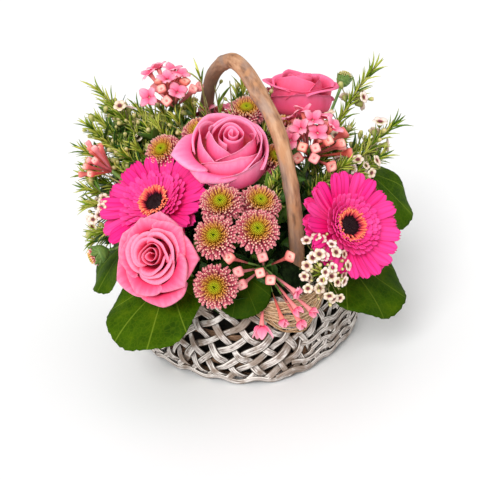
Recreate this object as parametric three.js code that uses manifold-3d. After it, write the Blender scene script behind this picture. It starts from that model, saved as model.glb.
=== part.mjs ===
// A flower basket arrangement: roses, gerberas, santini, bouvardia, waxflower and galax leaves in a round
// basket of split strips with a bent branch for a handle.
// Millimetres, Z up. The origin is under the middle of the basket, on the surface that it stands on.
import * as THREE from 'three';
import { mergeVertices } from 'three/addons/utils/BufferGeometryUtils.js';
import Module from 'manifold-3d';

const wasm = await Module();
wasm.setup();

// Gap left between two pieces that touch
const GAP = 0.35;
const GOLDEN_ANGLE = THREE.MathUtils.degToRad(137.5);

// Basket
const BASE_RADIUS = 88;
const BASE_THICKNESS = 5;
const RIM_RADIUS = 99;
const RIM_HEIGHT = 80;
const RIM_THICKNESS = 9;
const WALL_THICKNESS = 2.6;
const WALL_BULGE = 0.35;
const CORNER_BULGE = 0.035;
const CORNER_TURN = THREE.MathUtils.degToRad(-84);
const STRIP_ROWS = 5;
const STRIP_WAVES = 12;
const STRIP_RELIEF = 3.6;
const WALL_SIDES = 48;

// Liner and wet foam inside the basket
const LINER_BASE_RADIUS = 61;
const LINER_TOP_RADIUS = 68;
const LINER_TOP = 62;
const LINER_THICKNESS = 1.2;
const FOAM_RADIUS = 66;
const FOAM_SHOULDER = 82;
const FOAM_TOP = 98;
const STEM_DEPTH = 18;

// Handle, a peeled branch bent across the basket
const HANDLE_DIAMETER = 13.6;
const HANDLE_HEIGHT = 258;
const HANDLE_TURN = THREE.MathUtils.degToRad(-64);
const HANDLE_CENTRE = new THREE.Vector2(7, 10);

// Fibre at the feet of the handle: the middle and half of its span round the rim, and the number of strands
const LASHING_FRONT = [THREE.MathUtils.degToRad(-69), THREE.MathUtils.degToRad(16), 4];
const LASHING_BACK = [THREE.MathUtils.degToRad(110), THREE.MathUtils.degToRad(16), 2];

// Blooms
const ROSE_RADIUS = 38;
const ROSE_HEIGHT = 46;
const GERBERA_EYE_RADIUS = 8.8;
const SANTINI_RADIUS = 18.4;
const SANTINI_BUTTON_RADIUS = 6.6;
const GALAX_WAVES = 5;
const BLADE_THICKNESS = 0.8;

const COLOURS = {
  strip: [0xb9aa98, 0.85],
  dark_strip: [0x8d7456, 0.9],
  branch: [0xc9a184, 0.7],
  fibre: [0xb99468, 0.95],
  liner: [0x1c1f1a, 0.5],
  foam: [0x2f4a26, 0.95],
  rose: [0xf7a3bd, 0.6],
  gerbera: [0xf0309a, 0.6],
  gerbera_eye: [0x2a0a12, 0.9],
  santini: [0xd78f9f, 0.7],
  santini_green: [0x8c9a2e, 0.7],
  bouvardia: [0xf08c80, 0.5],
  waxflower: [0x7d8a45, 0.7],
  galax: [0x2f5c26, 0.35],
  stem: [0x5b7a35, 0.6],
};

// Where each bloom stands: the middle of its face, and the way that it looks as compass turn and rise in degrees.
// root is the place of its stem on top of the foam.
const ROSES = [
  { at: [-80, -122, 135], turn: -114, rise: 24, root: [-33, -40], spin: 20 },
  { at: [-8, -44, 211], turn: -75, rise: 66, root: [-7, -15], spin: 70 },
  { at: [66, 74, 218], turn: 50, rise: 80, root: [24, 31], spin: 10 },
];
const GERBERAS = [
  { at: [-71, -38, 151], turn: -128, rise: 52, root: [-40, -18], spin: 4, radius: 52 },
  { at: [86, -76, 132], turn: -55, rise: 34, root: [40, -31], spin: 9, radius: 47 },
];
const SANTINI_SPRAYS = [
  {
    fork: [-22, -46, 103],
    root: [-13, -33],
    heads: [
      { at: [-16, -89, 170], turn: -97, rise: 50 },
      { at: [-23, -117, 154], turn: -104, rise: 40 },
      { at: [-26, -132, 117], turn: -100, rise: 24 },
    ],
  },
  {
    fork: [8, -44, 107],
    root: [6, -31],
    heads: [
      { at: [11, -114, 155], turn: -84, rise: 42 },
      { at: [16, -76, 162], turn: -70, rise: 56 },
      { at: [33, -24, 178], turn: -50, rise: 60 },
    ],
  },
  {
    fork: [-26, 8, 128],
    root: [-20, 4],
    heads: [
      { at: [-64, 6, 182], turn: -118, rise: 50 },
      { at: [-30, 14, 194], turn: -105, rise: 62 },
      { at: [13, 44, 200], turn: -85, rise: 66 },
    ],
  },
  {
    fork: [22, 58, 112],
    root: [9, 44],
    heads: [
      { at: [48, 20, 192], turn: 20, rise: 70 },
      { at: [38, 100, 155], turn: 70, rise: 34 },
      { at: [-64, 82, 149], turn: 128, rise: 34 },
    ],
  },
];
const SANTINI_BUDS = [
  { at: [-131, -42, 107], turn: -165, rise: -14, root: [-52, -24] },
  { at: [104, 54, 220], turn: 30, rise: 60, root: [37, 24] },
];
const LEAVES = [
  { at: [-79, -98, 87], turn: -126, rise: 63, root: [-42, -35], size: 41 },
  { at: [-115, -17, 93], turn: -168, rise: 46, root: [-56, 0], size: 34 },
  { at: [99, -66, 79], turn: -39, rise: 58, root: [55, -18], size: 40 },
  { at: [128, 4, 124], turn: -35, rise: 42, root: [57, 6], size: 36 },
  { at: [-5, -106, 98], turn: -89, rise: 50, root: [6, -52], size: 23 },
  { at: [74, 90, 98], turn: 50, rise: 34, root: [40, 40], size: 40 },
  { at: [-30, 116, 96], turn: 104, rise: 34, root: [-13, 53], size: 40 },
  { at: [-100, 62, 101], turn: 148, rise: 28, root: [-48, 29], size: 40 },
];
const BOUVARDIA = [
  { hub: [14, -88, 107], turn: -84, rise: 16, root: [17, -46], heads: 11, spread: 78, reach: 38 },
  { hub: [62, -8, 168], turn: -30, rise: 62, root: [31, -7], heads: 9, spread: 64, reach: 38 },
  { hub: [-51, 48, 204], turn: 140, rise: 70, root: [-31, 24], heads: 7, spread: 56, reach: 36 },
  { hub: [-108, -2, 168], turn: 176, rise: 42, root: [-50, 6], heads: 5, spread: 56, reach: 31 },
  { hub: [-10, 66, 164], turn: 96, rise: 52, root: [-6, 31], heads: 6, spread: 56, reach: 34 },
];
const WAXFLOWER = [
  { tip: [126, 31, 230], bend: [89, 26, 193], root: [42, 13], whorls: 7, cups: 3 },
  { tip: [138, 5, 186], bend: [98, -2, 158], root: [48, -7], whorls: 7, cups: 4 },
  { tip: [61, -112, 110], bend: [64, -76, 92], root: [48, -37], whorls: 4, cups: 6 },
  { tip: [-127, -16, 146], bend: [-94, -6, 134], root: [-53, -2], whorls: 5, cups: 5 },
  { tip: [-116, 45, 228], bend: [-77, 30, 186], root: [-39, 15], whorls: 7, cups: 3 },
  { tip: [-25, 26, 236], bend: [-20, 30, 186], root: [-17, 33], whorls: 6, cups: 1 },
  { tip: [12, 116, 195], bend: [10, 76, 146], root: [2, 53], whorls: 6, cups: 4 },
];

// Reading three numbers as a point, and a compass turn and rise as a direction
const point = ([x, y, z]) => new THREE.Vector3(x, y, z);

function direction(turn, rise) {
  const t = THREE.MathUtils.degToRad(turn);
  const r = THREE.MathUtils.degToRad(rise);
  return new THREE.Vector3(Math.cos(t) * Math.cos(r), Math.sin(t) * Math.cos(r), Math.sin(r));
}

// Solids: from a geometry to a solid and back

function geometryFrom(positions, index) {
  const geometry = new THREE.BufferGeometry();
  geometry.setAttribute('position', new THREE.Float32BufferAttribute(positions, 3));
  geometry.setIndex(index);
  return geometry;
}

function solidOf(geometry) {
  const bare = geometry.clone();
  bare.deleteAttribute('normal');
  bare.deleteAttribute('uv');
  const merged = mergeVertices(bare, 1e-4);
  const mesh = new wasm.Mesh({
    numProp: 3,
    vertProperties: new Float32Array(merged.attributes.position.array),
    triVerts: new Uint32Array(merged.index.array),
  });
  return new wasm.Manifold(mesh);
}

function geometryOf(solid) {
  const mesh = solid.getMesh();
  const geometry = geometryFrom(Array.from(mesh.vertProperties), Array.from(mesh.triVerts));
  geometry.computeVertexNormals();
  return geometry;
}

// The largest outer body of a solid. A sealed hollow is filled and a loose scrap is dropped this way.
function largestBody(solid) {
  const bodies = solid.decompose();
  bodies.sort((a, b) => b.volume() - a.volume());
  return bodies[0];
}

function fuse(geometries) {
  let solid = solidOf(geometries[0]);
  for (const geometry of geometries.slice(1)) {
    solid = solid.add(solidOf(geometry));
  }
  return geometryOf(largestBody(solid));
}

// Pieces that are already placed, in the basket's own frame, so that repeats can be kept clear of them
const placed = [];

function overlapsPlaced(geometry) {
  const solid = solidOf(geometry);
  const box = solid.boundingBox();
  return placed.some((other) => {
    const near = [0, 1, 2].every((k) => box.min[k] < other.box.max[k] && box.max[k] > other.box.min[k]);
    return near && other.solid.intersect(solid).volume() > 1e-4;
  });
}

function addMesh(parent, name, geometry, colour) {
  const [hex, roughness] = COLOURS[colour];
  const material = new THREE.MeshStandardMaterial({ color: hex, roughness, metalness: 0 });
  const mesh = new THREE.Mesh(geometry, material);
  mesh.name = name;
  parent.add(mesh);
  parent.updateMatrixWorld(true);
  const solid = solidOf(geometry.clone().applyMatrix4(mesh.matrixWorld));
  placed.push({ solid, box: solid.boundingBox() });
  return mesh;
}

// Shape helpers

// A closed skin over rings of points, one ring after another. The ends are capped, or joined when looped is true.
function skin(rings, looped = false) {
  const sides = rings[0].length;
  const positions = rings.flat().flatMap((p) => [p.x, p.y, p.z]);
  const index = [];
  const bands = looped ? rings.length : rings.length - 1;
  for (let band = 0; band < bands; band += 1) {
    const low = band * sides;
    const high = ((band + 1) % rings.length) * sides;
    for (let side = 0; side < sides; side += 1) {
      const next = (side + 1) % sides;
      index.push(low + side, low + next, high + next);
      index.push(low + side, high + next, high + side);
    }
  }
  if (!looped) {
    const last = (rings.length - 1) * sides;
    for (let side = 1; side < sides - 1; side += 1) {
      index.push(0, side + 1, side);
      index.push(last, last + side, last + side + 1);
    }
  }
  return geometryFrom(positions, index);
}

// A round rod along points, with a radius at each, closed at both ends
function rod(points, radii, sides) {
  const rings = [];
  let across = new THREE.Vector3(1, 0.2, 0.1);
  for (let i = 0; i < points.length; i += 1) {
    const before = points[Math.max(i - 1, 0)];
    const after = points[Math.min(i + 1, points.length - 1)];
    const along = after.clone().sub(before).normalize();
    across = across.clone().addScaledVector(along, -across.dot(along)).normalize();
    const up = along.clone().cross(across);
    const ring = [];
    for (let side = 0; side < sides; side += 1) {
      const angle = (2 * Math.PI * side) / sides;
      ring.push(
        points[i].clone()
          .addScaledVector(across, radii[i] * Math.cos(angle))
          .addScaledVector(up, radii[i] * Math.sin(angle)),
      );
    }
    rings.push(ring);
  }
  return skin(rings);
}

// A turned shape round Z. The outline runs from the top of the axis round the outside to the bottom, or is a loop.
function turned(outline, sides) {
  const points = outline.map(([radius, height]) => new THREE.Vector2(radius, height));
  return new THREE.LatheGeometry(points.reverse(), sides).rotateX(Math.PI / 2);
}

// A closed star round Z: points by turns at a tip and between two tips, drawn in to a point above and one below
function star(tips, [tipRadius, tipHeight], [betweenRadius, betweenHeight], top, bottom) {
  const positions = [0, 0, top, 0, 0, bottom];
  const index = [];
  const corners = 2 * tips;
  for (let corner = 0; corner < corners; corner += 1) {
    const angle = (Math.PI * corner) / tips;
    const isTip = corner % 2 === 0;
    const radius = isTip ? tipRadius : betweenRadius;
    positions.push(radius * Math.cos(angle), radius * Math.sin(angle), isTip ? tipHeight : betweenHeight);
    const here = 2 + corner;
    const next = 2 + ((corner + 1) % corners);
    index.push(0, here, next, 1, next, here);
  }
  return geometryFrom(positions, index);
}

// Layers of petals round Z as one closed skin with a hole down the middle. Each row gives the radius and height at
// a petal's tip and between two petals, and how many quarter petals it is turned. Petals are corners points wide.
function layeredPetals(petals, corners, rows) {
  const points = petals * corners;
  const rings = rows.map(({ tip, between, turn = 0 }) => {
    const ring = [];
    for (let i = 0; i < points; i += 1) {
      const place = (i + turn) % corners;
      const angle = (2 * Math.PI * i) / points;
      const isShoulder = corners === 4 && place % 2 === 1;
      const [, height] = place === 0 ? between : tip;
      const share = place === 0 ? 0 : 1 - 0.12 * isShoulder;
      const radius = between[0] + (tip[0] - between[0]) * share;
      ring.push(new THREE.Vector3(radius * Math.cos(angle), radius * Math.sin(angle), height));
    }
    return ring;
  });
  return skin(rings.reverse(), true);
}

// The frame that has its origin at a point and its Z along a direction
function frameAlong(origin, out) {
  const aim = new THREE.Quaternion().setFromUnitVectors(new THREE.Vector3(0, 0, 1), out);
  return new THREE.Matrix4().compose(origin, aim, new THREE.Vector3(1, 1, 1));
}

// A thin closed blade round a middle surface. surface(u, v): u from root to tip, v from -1 to 1 across.
function blade(surface, rows, columns, thickness = BLADE_THICKNESS) {
  const positions = [];
  const step = 1e-3;
  for (let row = 0; row <= rows; row += 1) {
    for (let column = 0; column <= columns; column += 1) {
      const u = row / rows;
      const v = (2 * column) / columns - 1;
      const middle = surface(u, v);
      const alongU = surface(Math.min(u + step, 1), v).sub(surface(Math.max(u - step, 0), v));
      const alongV = surface(u, v + step).sub(surface(u, v - step));
      const normal = alongU.cross(alongV).normalize().multiplyScalar(thickness / 2);
      const front = middle.clone().add(normal);
      const back = middle.clone().sub(normal);
      positions.push(front.x, front.y, front.z, back.x, back.y, back.z);
    }
  }
  const corner = (row, column) => 2 * (row * (columns + 1) + column);
  const index = [];
  for (let row = 0; row < rows; row += 1) {
    for (let column = 0; column < columns; column += 1) {
      const a = corner(row, column);
      const b = corner(row + 1, column);
      const c = corner(row + 1, column + 1);
      const d = corner(row, column + 1);
      index.push(a, b, c, a, c, d);
      index.push(a + 1, c + 1, b + 1, a + 1, d + 1, c + 1);
    }
  }
  const edge = [];
  for (let row = 0; row < rows; row += 1) edge.push(corner(row, 0));
  for (let column = 0; column < columns; column += 1) edge.push(corner(rows, column));
  for (let row = rows; row > 0; row -= 1) edge.push(corner(row, columns));
  for (let column = columns; column > 0; column -= 1) edge.push(corner(0, column));
  edge.forEach((from, i) => {
    const to = edge[(i + 1) % edge.length];
    index.push(to, from, from + 1);
    index.push(to, from + 1, to + 1);
  });
  return geometryFrom(positions, index);
}

// The turn that brings local Z to a direction, after a spin round Z in degrees
function facing(turn, rise, spin = 0) {
  const aim = new THREE.Quaternion().setFromUnitVectors(new THREE.Vector3(0, 0, 1), direction(turn, rise));
  const roll = new THREE.Quaternion().setFromAxisAngle(
    new THREE.Vector3(0, 0, 1),
    THREE.MathUtils.degToRad(spin),
  );
  return aim.multiply(roll);
}

function headFrame(head) {
  return new THREE.Matrix4().compose(
    point(head.at),
    facing(head.turn, head.rise, head.spin ?? 0),
    new THREE.Vector3(1, 1, 1),
  );
}

function bloomGroup(bloom) {
  const group = new THREE.Group();
  group.position.copy(point(bloom.at));
  group.quaternion.copy(facing(bloom.turn, bloom.rise, bloom.spin ?? 0));
  arrangement.add(group);
  return group;
}

const arrangement = new THREE.Group();

// Basket

function wallRadius(height) {
  const rise = height / RIM_HEIGHT;
  return BASE_RADIUS + (RIM_RADIUS - BASE_RADIUS) * rise ** WALL_BULGE;
}

function circleRing(radiusAt, heightAt, sides) {
  const ring = [];
  for (let side = 0; side < sides; side += 1) {
    const angle = (2 * Math.PI * side) / sides;
    const radius = radiusAt(angle);
    ring.push(new THREE.Vector3(radius * Math.cos(angle), radius * Math.sin(angle), heightAt(angle)));
  }
  return ring;
}

// The basket is nearly round in plan, with four soft corners
function cornered(radius, angle) {
  return radius * (1 + CORNER_BULGE * Math.cos(4 * (angle - CORNER_TURN)));
}

// A mat with a flat underside and a raised middle
function basketBase() {
  const rows = [
    [BASE_RADIUS + 3, BASE_THICKNESS],
    [BASE_RADIUS + 4, 3],
    [BASE_RADIUS, 0],
  ];
  const rings = rows.map(([radius, height]) => circleRing((angle) => cornered(radius, angle), () => height, 24));
  return skin(rings.reverse());
}

// Strips that cross each other on the slant, as relief on the outside of one wall
function basketWall() {
  const bottom = BASE_THICKNESS + GAP;
  const top = RIM_HEIGHT - RIM_THICKNESS / 2 + 2 * GAP;
  const rows = 2 * STRIP_ROWS;
  const rings = [];
  for (let row = 0; row <= rows; row += 1) {
    const height = bottom + ((top - bottom) * row) / rows;
    const relief = (angle) => {
      const slant = (Math.PI * row) / 2;
      const turn = STRIP_WAVES * angle + 0.5 * Math.sin(3 * angle);
      return STRIP_RELIEF * (0.5 + 0.5 * Math.max(Math.cos(turn + slant), Math.cos(turn - slant)));
    };
    const isEnd = row === 0 || row === rows;
    rings.push(
      circleRing(
        (angle) => cornered(wallRadius(height), angle) + (isEnd ? 0 : relief(angle)),
        () => height,
        WALL_SIDES,
      ),
    );
  }
  for (const height of [top, bottom]) {
    rings.push(
      circleRing((angle) => cornered(wallRadius(height), angle) - WALL_THICKNESS, () => height, WALL_SIDES),
    );
  }
  return skin(rings, true);
}

// How far the folded strips swell out of the rim's middle line
function rimSwell(angle, around) {
  return (RIM_THICKNESS / 2) * (0.82 + 0.18 * Math.cos(around * 2 + 16 * angle));
}

// The rim: strips folded over and twisted round the top of the wall
function basketRim() {
  const sides = 40;
  const corners = 5;
  const rings = [];
  for (let corner = 0; corner < corners; corner += 1) {
    const around = (2 * Math.PI * corner) / corners;
    rings.push(
      circleRing(
        (angle) => cornered(RIM_RADIUS, angle) + rimSwell(angle, around) * Math.cos(around),
        (angle) => RIM_HEIGHT + rimSwell(angle, around) * Math.sin(around),
        sides,
      ),
    );
  }
  return skin(rings, true);
}

// A point in the plane of the handle: along is the distance from its centre to the front foot
function onHandle(along, height) {
  return new THREE.Vector3(
    HANDLE_CENTRE.x + along * Math.cos(HANDLE_TURN),
    HANDLE_CENTRE.y + along * Math.sin(HANDLE_TURN),
    height,
  );
}

function handlePath() {
  const bends = [
    [78, BASE_THICKNESS + 2], [82, 34], [82, 62], [81, 84], [83, 112], [83, 141], [79, 167], [68, 201],
    [54, 219], [37, 232], [17, 246], [0, HANDLE_HEIGHT - HANDLE_DIAMETER / 2], [-13, 250], [-30, 243],
    [-49, 229], [-62, 210], [-74, 180], [-81, 146], [-82, 116], [-79, 86], [-79, 62], [-78, 34],
    [-76, BASE_THICKNESS + 2],
  ];
  return new THREE.CatmullRomCurve3(bends.map(([along, height]) => onHandle(along, height)));
}

function handle() {
  const steps = 28;
  const points = handlePath().getPoints(steps);
  const radii = points.map((p, i) => {
    const knot = i % 8 === 3 ? 0.7 : 0;
    return HANDLE_DIAMETER / 2 - 0.5 + knot + 0.35 * Math.sin(i * 1.7);
  });
  return rod(points, radii, 7);
}

// Tan fibre hung along the outside of the rim in loops, each sagging lower than the one over it
function lashing(middle, halfSpan, strands) {
  const pieces = [];
  for (let strand = 0; strand < strands; strand += 1) {
    const thickness = 4.2 - 0.3 * strand;
    const points = [];
    for (let i = -3; i <= 3; i += 1) {
      const angle = middle + (halfSpan * i) / 3;
      const swell = strand === 0 ? rimSwell(angle, 0) : RIM_THICKNESS / 2 - 0.3 * strand;
      const radius = cornered(RIM_RADIUS, angle) + swell + thickness + GAP;
      const sag = (3 + 5.4 * strand) * (1 - (i / 3) ** 2);
      const height = RIM_HEIGHT + 4 - 1.6 * strand - sag;
      points.push(new THREE.Vector3(radius * Math.cos(angle), radius * Math.sin(angle), height));
    }
    const radii = points.map((p, i) => (i % 6 === 0 ? thickness * 0.55 : thickness));
    pieces.push(rod(points, radii, 5));
  }
  return fuse(pieces);
}

// Inside the basket

function liner() {
  const t = LINER_THICKNESS;
  const low = BASE_THICKNESS + GAP;
  const outline = [
    [LINER_TOP_RADIUS - t, LINER_TOP],
    [LINER_TOP_RADIUS, LINER_TOP],
    [LINER_BASE_RADIUS, low],
    [0, low],
    [0, low + t],
    [LINER_BASE_RADIUS - t, low + t],
    [LINER_TOP_RADIUS - t, LINER_TOP],
  ];
  return turned(outline, 16);
}

function foamSurface(x, y) {
  const radius = Math.hypot(x, y);
  return FOAM_TOP - (FOAM_TOP - FOAM_SHOULDER) * (radius / FOAM_RADIUS) ** 2;
}

function foamBlock() {
  const low = BASE_THICKNESS + LINER_THICKNESS + 2 * GAP;
  const outline = [
    [0, FOAM_TOP],
    [FOAM_RADIUS * 0.55, foamSurface(FOAM_RADIUS * 0.55, 0)],
    [FOAM_RADIUS, FOAM_SHOULDER],
    [LINER_BASE_RADIUS - 3, low],
    [0, low],
  ];
  return turned(outline, 16);
}

// Stems: each leaves its bloom straight back and runs down into a plain hole in the foam

function rootEnd([x, y]) {
  const entry = new THREE.Vector3(x, y, foamSurface(x, y));
  const inward = new THREE.Vector3(-x, -y, -70).normalize();
  return { entry, inward };
}

function stemCurve(start, backwards, root) {
  const { entry, inward } = rootEnd(root);
  const reach = start.distanceTo(entry);
  return new THREE.CubicBezierCurve3(
    start,
    start.clone().addScaledVector(backwards, reach * 0.4),
    entry.clone().addScaledVector(inward, -reach * 0.35),
    entry,
  );
}

const foamHoles = [];

function stem(start, backwards, root, radius, steps = 5, sides = 5) {
  const { entry, inward } = rootEnd(root);
  const points = stemCurve(start, backwards, root).getPoints(steps);
  points.push(entry.clone().addScaledVector(inward, STEM_DEPTH));
  foamHoles.push({ entry, inward, radius });
  return rod(points, points.map(() => radius), sides);
}

function foamWithHoles() {
  let solid = solidOf(foamBlock());
  for (const { entry, inward, radius } of foamHoles) {
    const ends = [
      entry.clone().addScaledVector(inward, -6),
      entry.clone().addScaledVector(inward, STEM_DEPTH + 1.5),
    ];
    const hole = rod(ends, ends.map(() => radius * 1.4 + GAP), 4);
    solid = solid.subtract(solidOf(hole));
  }
  return geometryOf(largestBody(solid));
}

// Roses

// One petal of a cupped bloom. body is how far out it stands, flare how far its edge rolls out and down.
function rosePetal({ azimuth, spread, body, height, flare, curl, lift }) {
  return (u, v) => {
    const width = Math.sin(Math.PI * (0.12 + 0.62 * u)) ** 0.8;
    const angle = azimuth + v * spread * width;
    const edge = u ** 3 * (1 + 0.35 * v * v);
    const radius = 3 + (body - 3) * Math.sin((Math.PI / 2) * Math.min(u * 1.25, 1)) ** 0.9 + flare * edge;
    const fold = 1 - 0.16 * u * v * v;
    const drop = curl * Math.max(0, u - 0.6) ** 2 * 6;
    const z = -ROSE_HEIGHT + lift + (height - lift) * u * fold - drop;
    return new THREE.Vector3(radius * Math.cos(angle), radius * Math.sin(angle), z);
  };
}

function rosePetals(count) {
  const petals = [];
  for (let k = 0; k < count; k += 1) {
    const open = k / (count - 1);
    petals.push(
      rosePetal({
        azimuth: k * GOLDEN_ANGLE,
        spread: 1.25 - 0.35 * open,
        body: 10 + 17 * open,
        height: ROSE_HEIGHT - 2 - 12 * open * open,
        flare: 1 + (ROSE_RADIUS - 28) * open * 1.15,
        curl: 9 * open * open,
        lift: 5 - 3 * open,
      }),
    );
  }
  return petals;
}

function roseHead() {
  const heart = turned([[0, -2], [5, -4], [8.5, -14], [8, -34], [5, -ROSE_HEIGHT + 1], [0, -ROSE_HEIGHT]], 7);
  return fuse([heart, ...rosePetals(9).map((petal) => blade(petal, 3, 3, 0.9))]);
}

function roseStem(bloom) {
  const neck = -ROSE_HEIGHT - GAP;
  const cup = turned([[0, neck], [4.6, neck], [6, neck - 4], [3.6, neck - 9], [0, neck - 10]], 6);
  const sepals = star(5, [19, neck - 9], [4, neck - 5], neck - 3, neck - 8);
  const frame = headFrame(bloom);
  const backwards = direction(bloom.turn, bloom.rise).negate();
  const start = point(bloom.at).addScaledVector(backwards, ROSE_HEIGHT + 6);
  return fuse([cup.applyMatrix4(frame), sepals.applyMatrix4(frame), stem(start, backwards, bloom.root, 2.8)]);
}

function buildRoses() {
  ROSES.forEach((rose, i) => {
    addMesh(bloomGroup(rose), `rose_${i + 1}_petals`, roseHead(), 'rose');
    addMesh(arrangement, `rose_${i + 1}_stem`, roseStem(rose), 'stem');
  });
}

// Gerberas

// Two layers of long rays and one of short ones, with slots between the rays
function gerberaHead(radius) {
  const hole = GERBERA_EYE_RADIUS + GAP;
  return layeredPetals(15, 4, [
    { tip: [hole, 0], between: [hole, 0] },
    { tip: [15, 4], between: [12, 1] },
    { tip: [23, 7], between: [13, 2] },
    { tip: [17, 1.5], between: [14, 1], turn: 2 },
    { tip: [radius - 6, 9], between: [15, 0], turn: 2 },
    { tip: [radius, 7], between: [17, -3] },
    { tip: [15, -6], between: [15, -6] },
    { tip: [hole, -6], between: [hole, -6] },
  ]);
}

function gerberaEye() {
  const r = GERBERA_EYE_RADIUS;
  return turned([[0, 2.5], [r * 0.65, 3], [r, 0.5], [r, -6], [0, -6]], 12);
}

function gerberaStem(bloom) {
  const cup = turned([[0, -6 - GAP], [12, -6 - GAP], [9.5, -12], [3.4, -17], [0, -18]], 8);
  const backwards = direction(bloom.turn, bloom.rise).negate();
  const start = point(bloom.at).addScaledVector(backwards, 14);
  return fuse([cup.applyMatrix4(headFrame(bloom)), stem(start, backwards, bloom.root, 3)]);
}

function buildGerberas() {
  GERBERAS.forEach((gerbera, i) => {
    const group = bloomGroup(gerbera);
    addMesh(group, `gerbera_${i + 1}_rays`, gerberaHead(gerbera.radius), 'gerbera');
    addMesh(group, `gerbera_${i + 1}_eye`, gerberaEye(), 'gerbera_eye');
    addMesh(arrangement, `gerbera_${i + 1}_stem`, gerberaStem(gerbera), 'stem');
  });
}

// Santini: small heads of quilled petals round a green button, several heads to a forked stem

function santiniHead() {
  const hole = 2.6 + GAP;
  const radius = SANTINI_RADIUS;
  return layeredPetals(7, 2, [
    { tip: [hole, -1], between: [hole, -1] },
    { tip: [8.5, -0.5], between: [7, -1] },
    { tip: [13.5, 1], between: [8.5, -3] },
    { tip: [10, -4.5], between: [9, -5] },
    { tip: [radius - 1.5, -3], between: [11, -6], turn: 1 },
    { tip: [radius, -10], between: [11.5, -9.5] },
    { tip: [7, -13], between: [7, -13] },
    { tip: [hole, -13], between: [hole, -13] },
  ]);
}

// The green button of one head, its neck through the petals, and the cup below them
function santiniButton() {
  const r = SANTINI_BUTTON_RADIUS;
  return turned(
    [[0, 2.4], [r, -1 + GAP], [2.6, -1 + GAP], [2.6, -13 - GAP], [7, -13 - GAP], [0, -21]],
    5,
  );
}

function santiniGreen(spray) {
  const fork = point(spray.fork);
  const { entry } = rootEnd(spray.root);
  const pieces = [stem(fork, entry.clone().sub(fork).normalize(), spray.root, 2.4, 2)];
  for (const head of spray.heads) {
    const backwards = direction(head.turn, head.rise).negate();
    const start = point(head.at).addScaledVector(backwards, 16);
    const reach = start.distanceTo(fork);
    const into = entry.clone().sub(fork).normalize();
    const branch = new THREE.CubicBezierCurve3(
      start,
      start.clone().addScaledVector(backwards, reach * 0.35),
      fork.clone().addScaledVector(into, -reach * 0.25),
      fork.clone().addScaledVector(into, 2),
    );
    const points = branch.getPoints(3);
    pieces.push(rod(points, points.map(() => 1.7), 3));
    pieces.push(santiniButton().applyMatrix4(headFrame(head)));
  }
  return fuse(pieces);
}

// An opening bud: green scales round a few closed petals, on a stalk of its own
function santiniBud(bud) {
  const frame = headFrame(bud);
  const ball = turned([[0, 0], [5, -2], [8.5, -8], [6, -14], [0, -17]], 6);
  const petals = star(6, [8.5, 1], [5, -3], -1, -9);
  const backwards = direction(bud.turn, bud.rise).negate();
  const start = point(bud.at).addScaledVector(backwards, 14);
  return fuse([ball.applyMatrix4(frame), petals.applyMatrix4(frame), stem(start, backwards, bud.root, 1.5, 4, 3)]);
}

function buildSantini() {
  let number = 0;
  SANTINI_SPRAYS.forEach((spray, i) => {
    for (const head of spray.heads) {
      number += 1;
      addMesh(bloomGroup(head), `santini_${number}_petals`, santiniHead(), 'santini');
    }
    addMesh(arrangement, `santini_spray_${i + 1}_green`, santiniGreen(spray), 'santini_green');
  });
  SANTINI_BUDS.forEach((bud, i) => {
    addMesh(arrangement, `santini_bud_${i + 1}`, santiniBud(bud), 'santini_green');
  });
}

// Galax leaves: round, with a notch at the stalk and a waved edge

function galaxSurface(size) {
  return (u, v) => {
    const along = size * (2.05 * u - 1);
    const width = size * Math.sqrt(Math.max(1 - (1.9 * u - 0.95) ** 2, 0.1));
    const across = v * width;
    const edge = Math.max(Math.abs(v), Math.abs(2 * u - 1)) ** 3;
    const notch = u < 0.1 ? size * 0.3 * (1 - Math.abs(v)) : 0;
    const wave = size * 0.07 * edge * Math.sin(GALAX_WAVES * Math.atan2(across, along + 0.01));
    const cup = size * 0.12 * (v * v + (2 * u - 1) ** 2);
    return new THREE.Vector3(along + notch, across, wave - cup);
  };
}

// The leaf lies across its facing direction, with its tip turned down to the compass turn that it faces
function leafFrame(leaf) {
  const normal = direction(leaf.turn, leaf.rise);
  const tip = direction(leaf.turn, leaf.rise - 90).applyAxisAngle(normal, THREE.MathUtils.degToRad(leaf.spin ?? 0));
  const side = normal.clone().cross(tip);
  return new THREE.Matrix4().makeBasis(tip, side, normal).setPosition(point(leaf.at));
}

function galaxLeaf(leaf) {
  const frame = leafFrame(leaf);
  const { size } = leaf;
  const bladeSolid = blade(galaxSurface(size), 4, 4, 0.9).applyMatrix4(frame);
  const stalk = new THREE.Vector3(-size * 0.72, 0, -size * 0.1).applyMatrix4(frame);
  const backwards = new THREE.Vector3(-0.8, 0, -0.6).transformDirection(frame);
  return fuse([bladeSolid, stem(stalk, backwards, leaf.root, 1.5, 2, 3)]);
}

function buildLeaves() {
  LEAVES.forEach((leaf, i) => {
    addMesh(arrangement, `galax_leaf_${i + 1}`, galaxLeaf(leaf), 'galax');
  });
}

// Directions spread evenly round one direction, out to an angle in degrees, by the golden angle
function spreadRound(axis, count, widest) {
  const aim = new THREE.Quaternion().setFromUnitVectors(new THREE.Vector3(0, 0, 1), axis);
  const directions = [];
  for (let k = 0; k < count; k += 1) {
    const tilt = THREE.MathUtils.degToRad(widest) * Math.sqrt((k + 0.3) / count);
    const azimuth = k * GOLDEN_ANGLE;
    const out = new THREE.Vector3(
      Math.sin(tilt) * Math.cos(azimuth),
      Math.sin(tilt) * Math.sin(azimuth),
      Math.cos(tilt),
    );
    directions.push(out.applyQuaternion(aim));
  }
  return directions;
}

// Bouvardia: long trumpets from one hub, some still square buds and some open with four lobes

function bouvardiaBud(hub, out, reach) {
  const at = [1, reach - 11, reach - 4, reach].map((far) => hub.clone().addScaledVector(out, far));
  return [rod(at, [1.1, 1.7, 4.8, 1.8], 4)];
}

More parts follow.
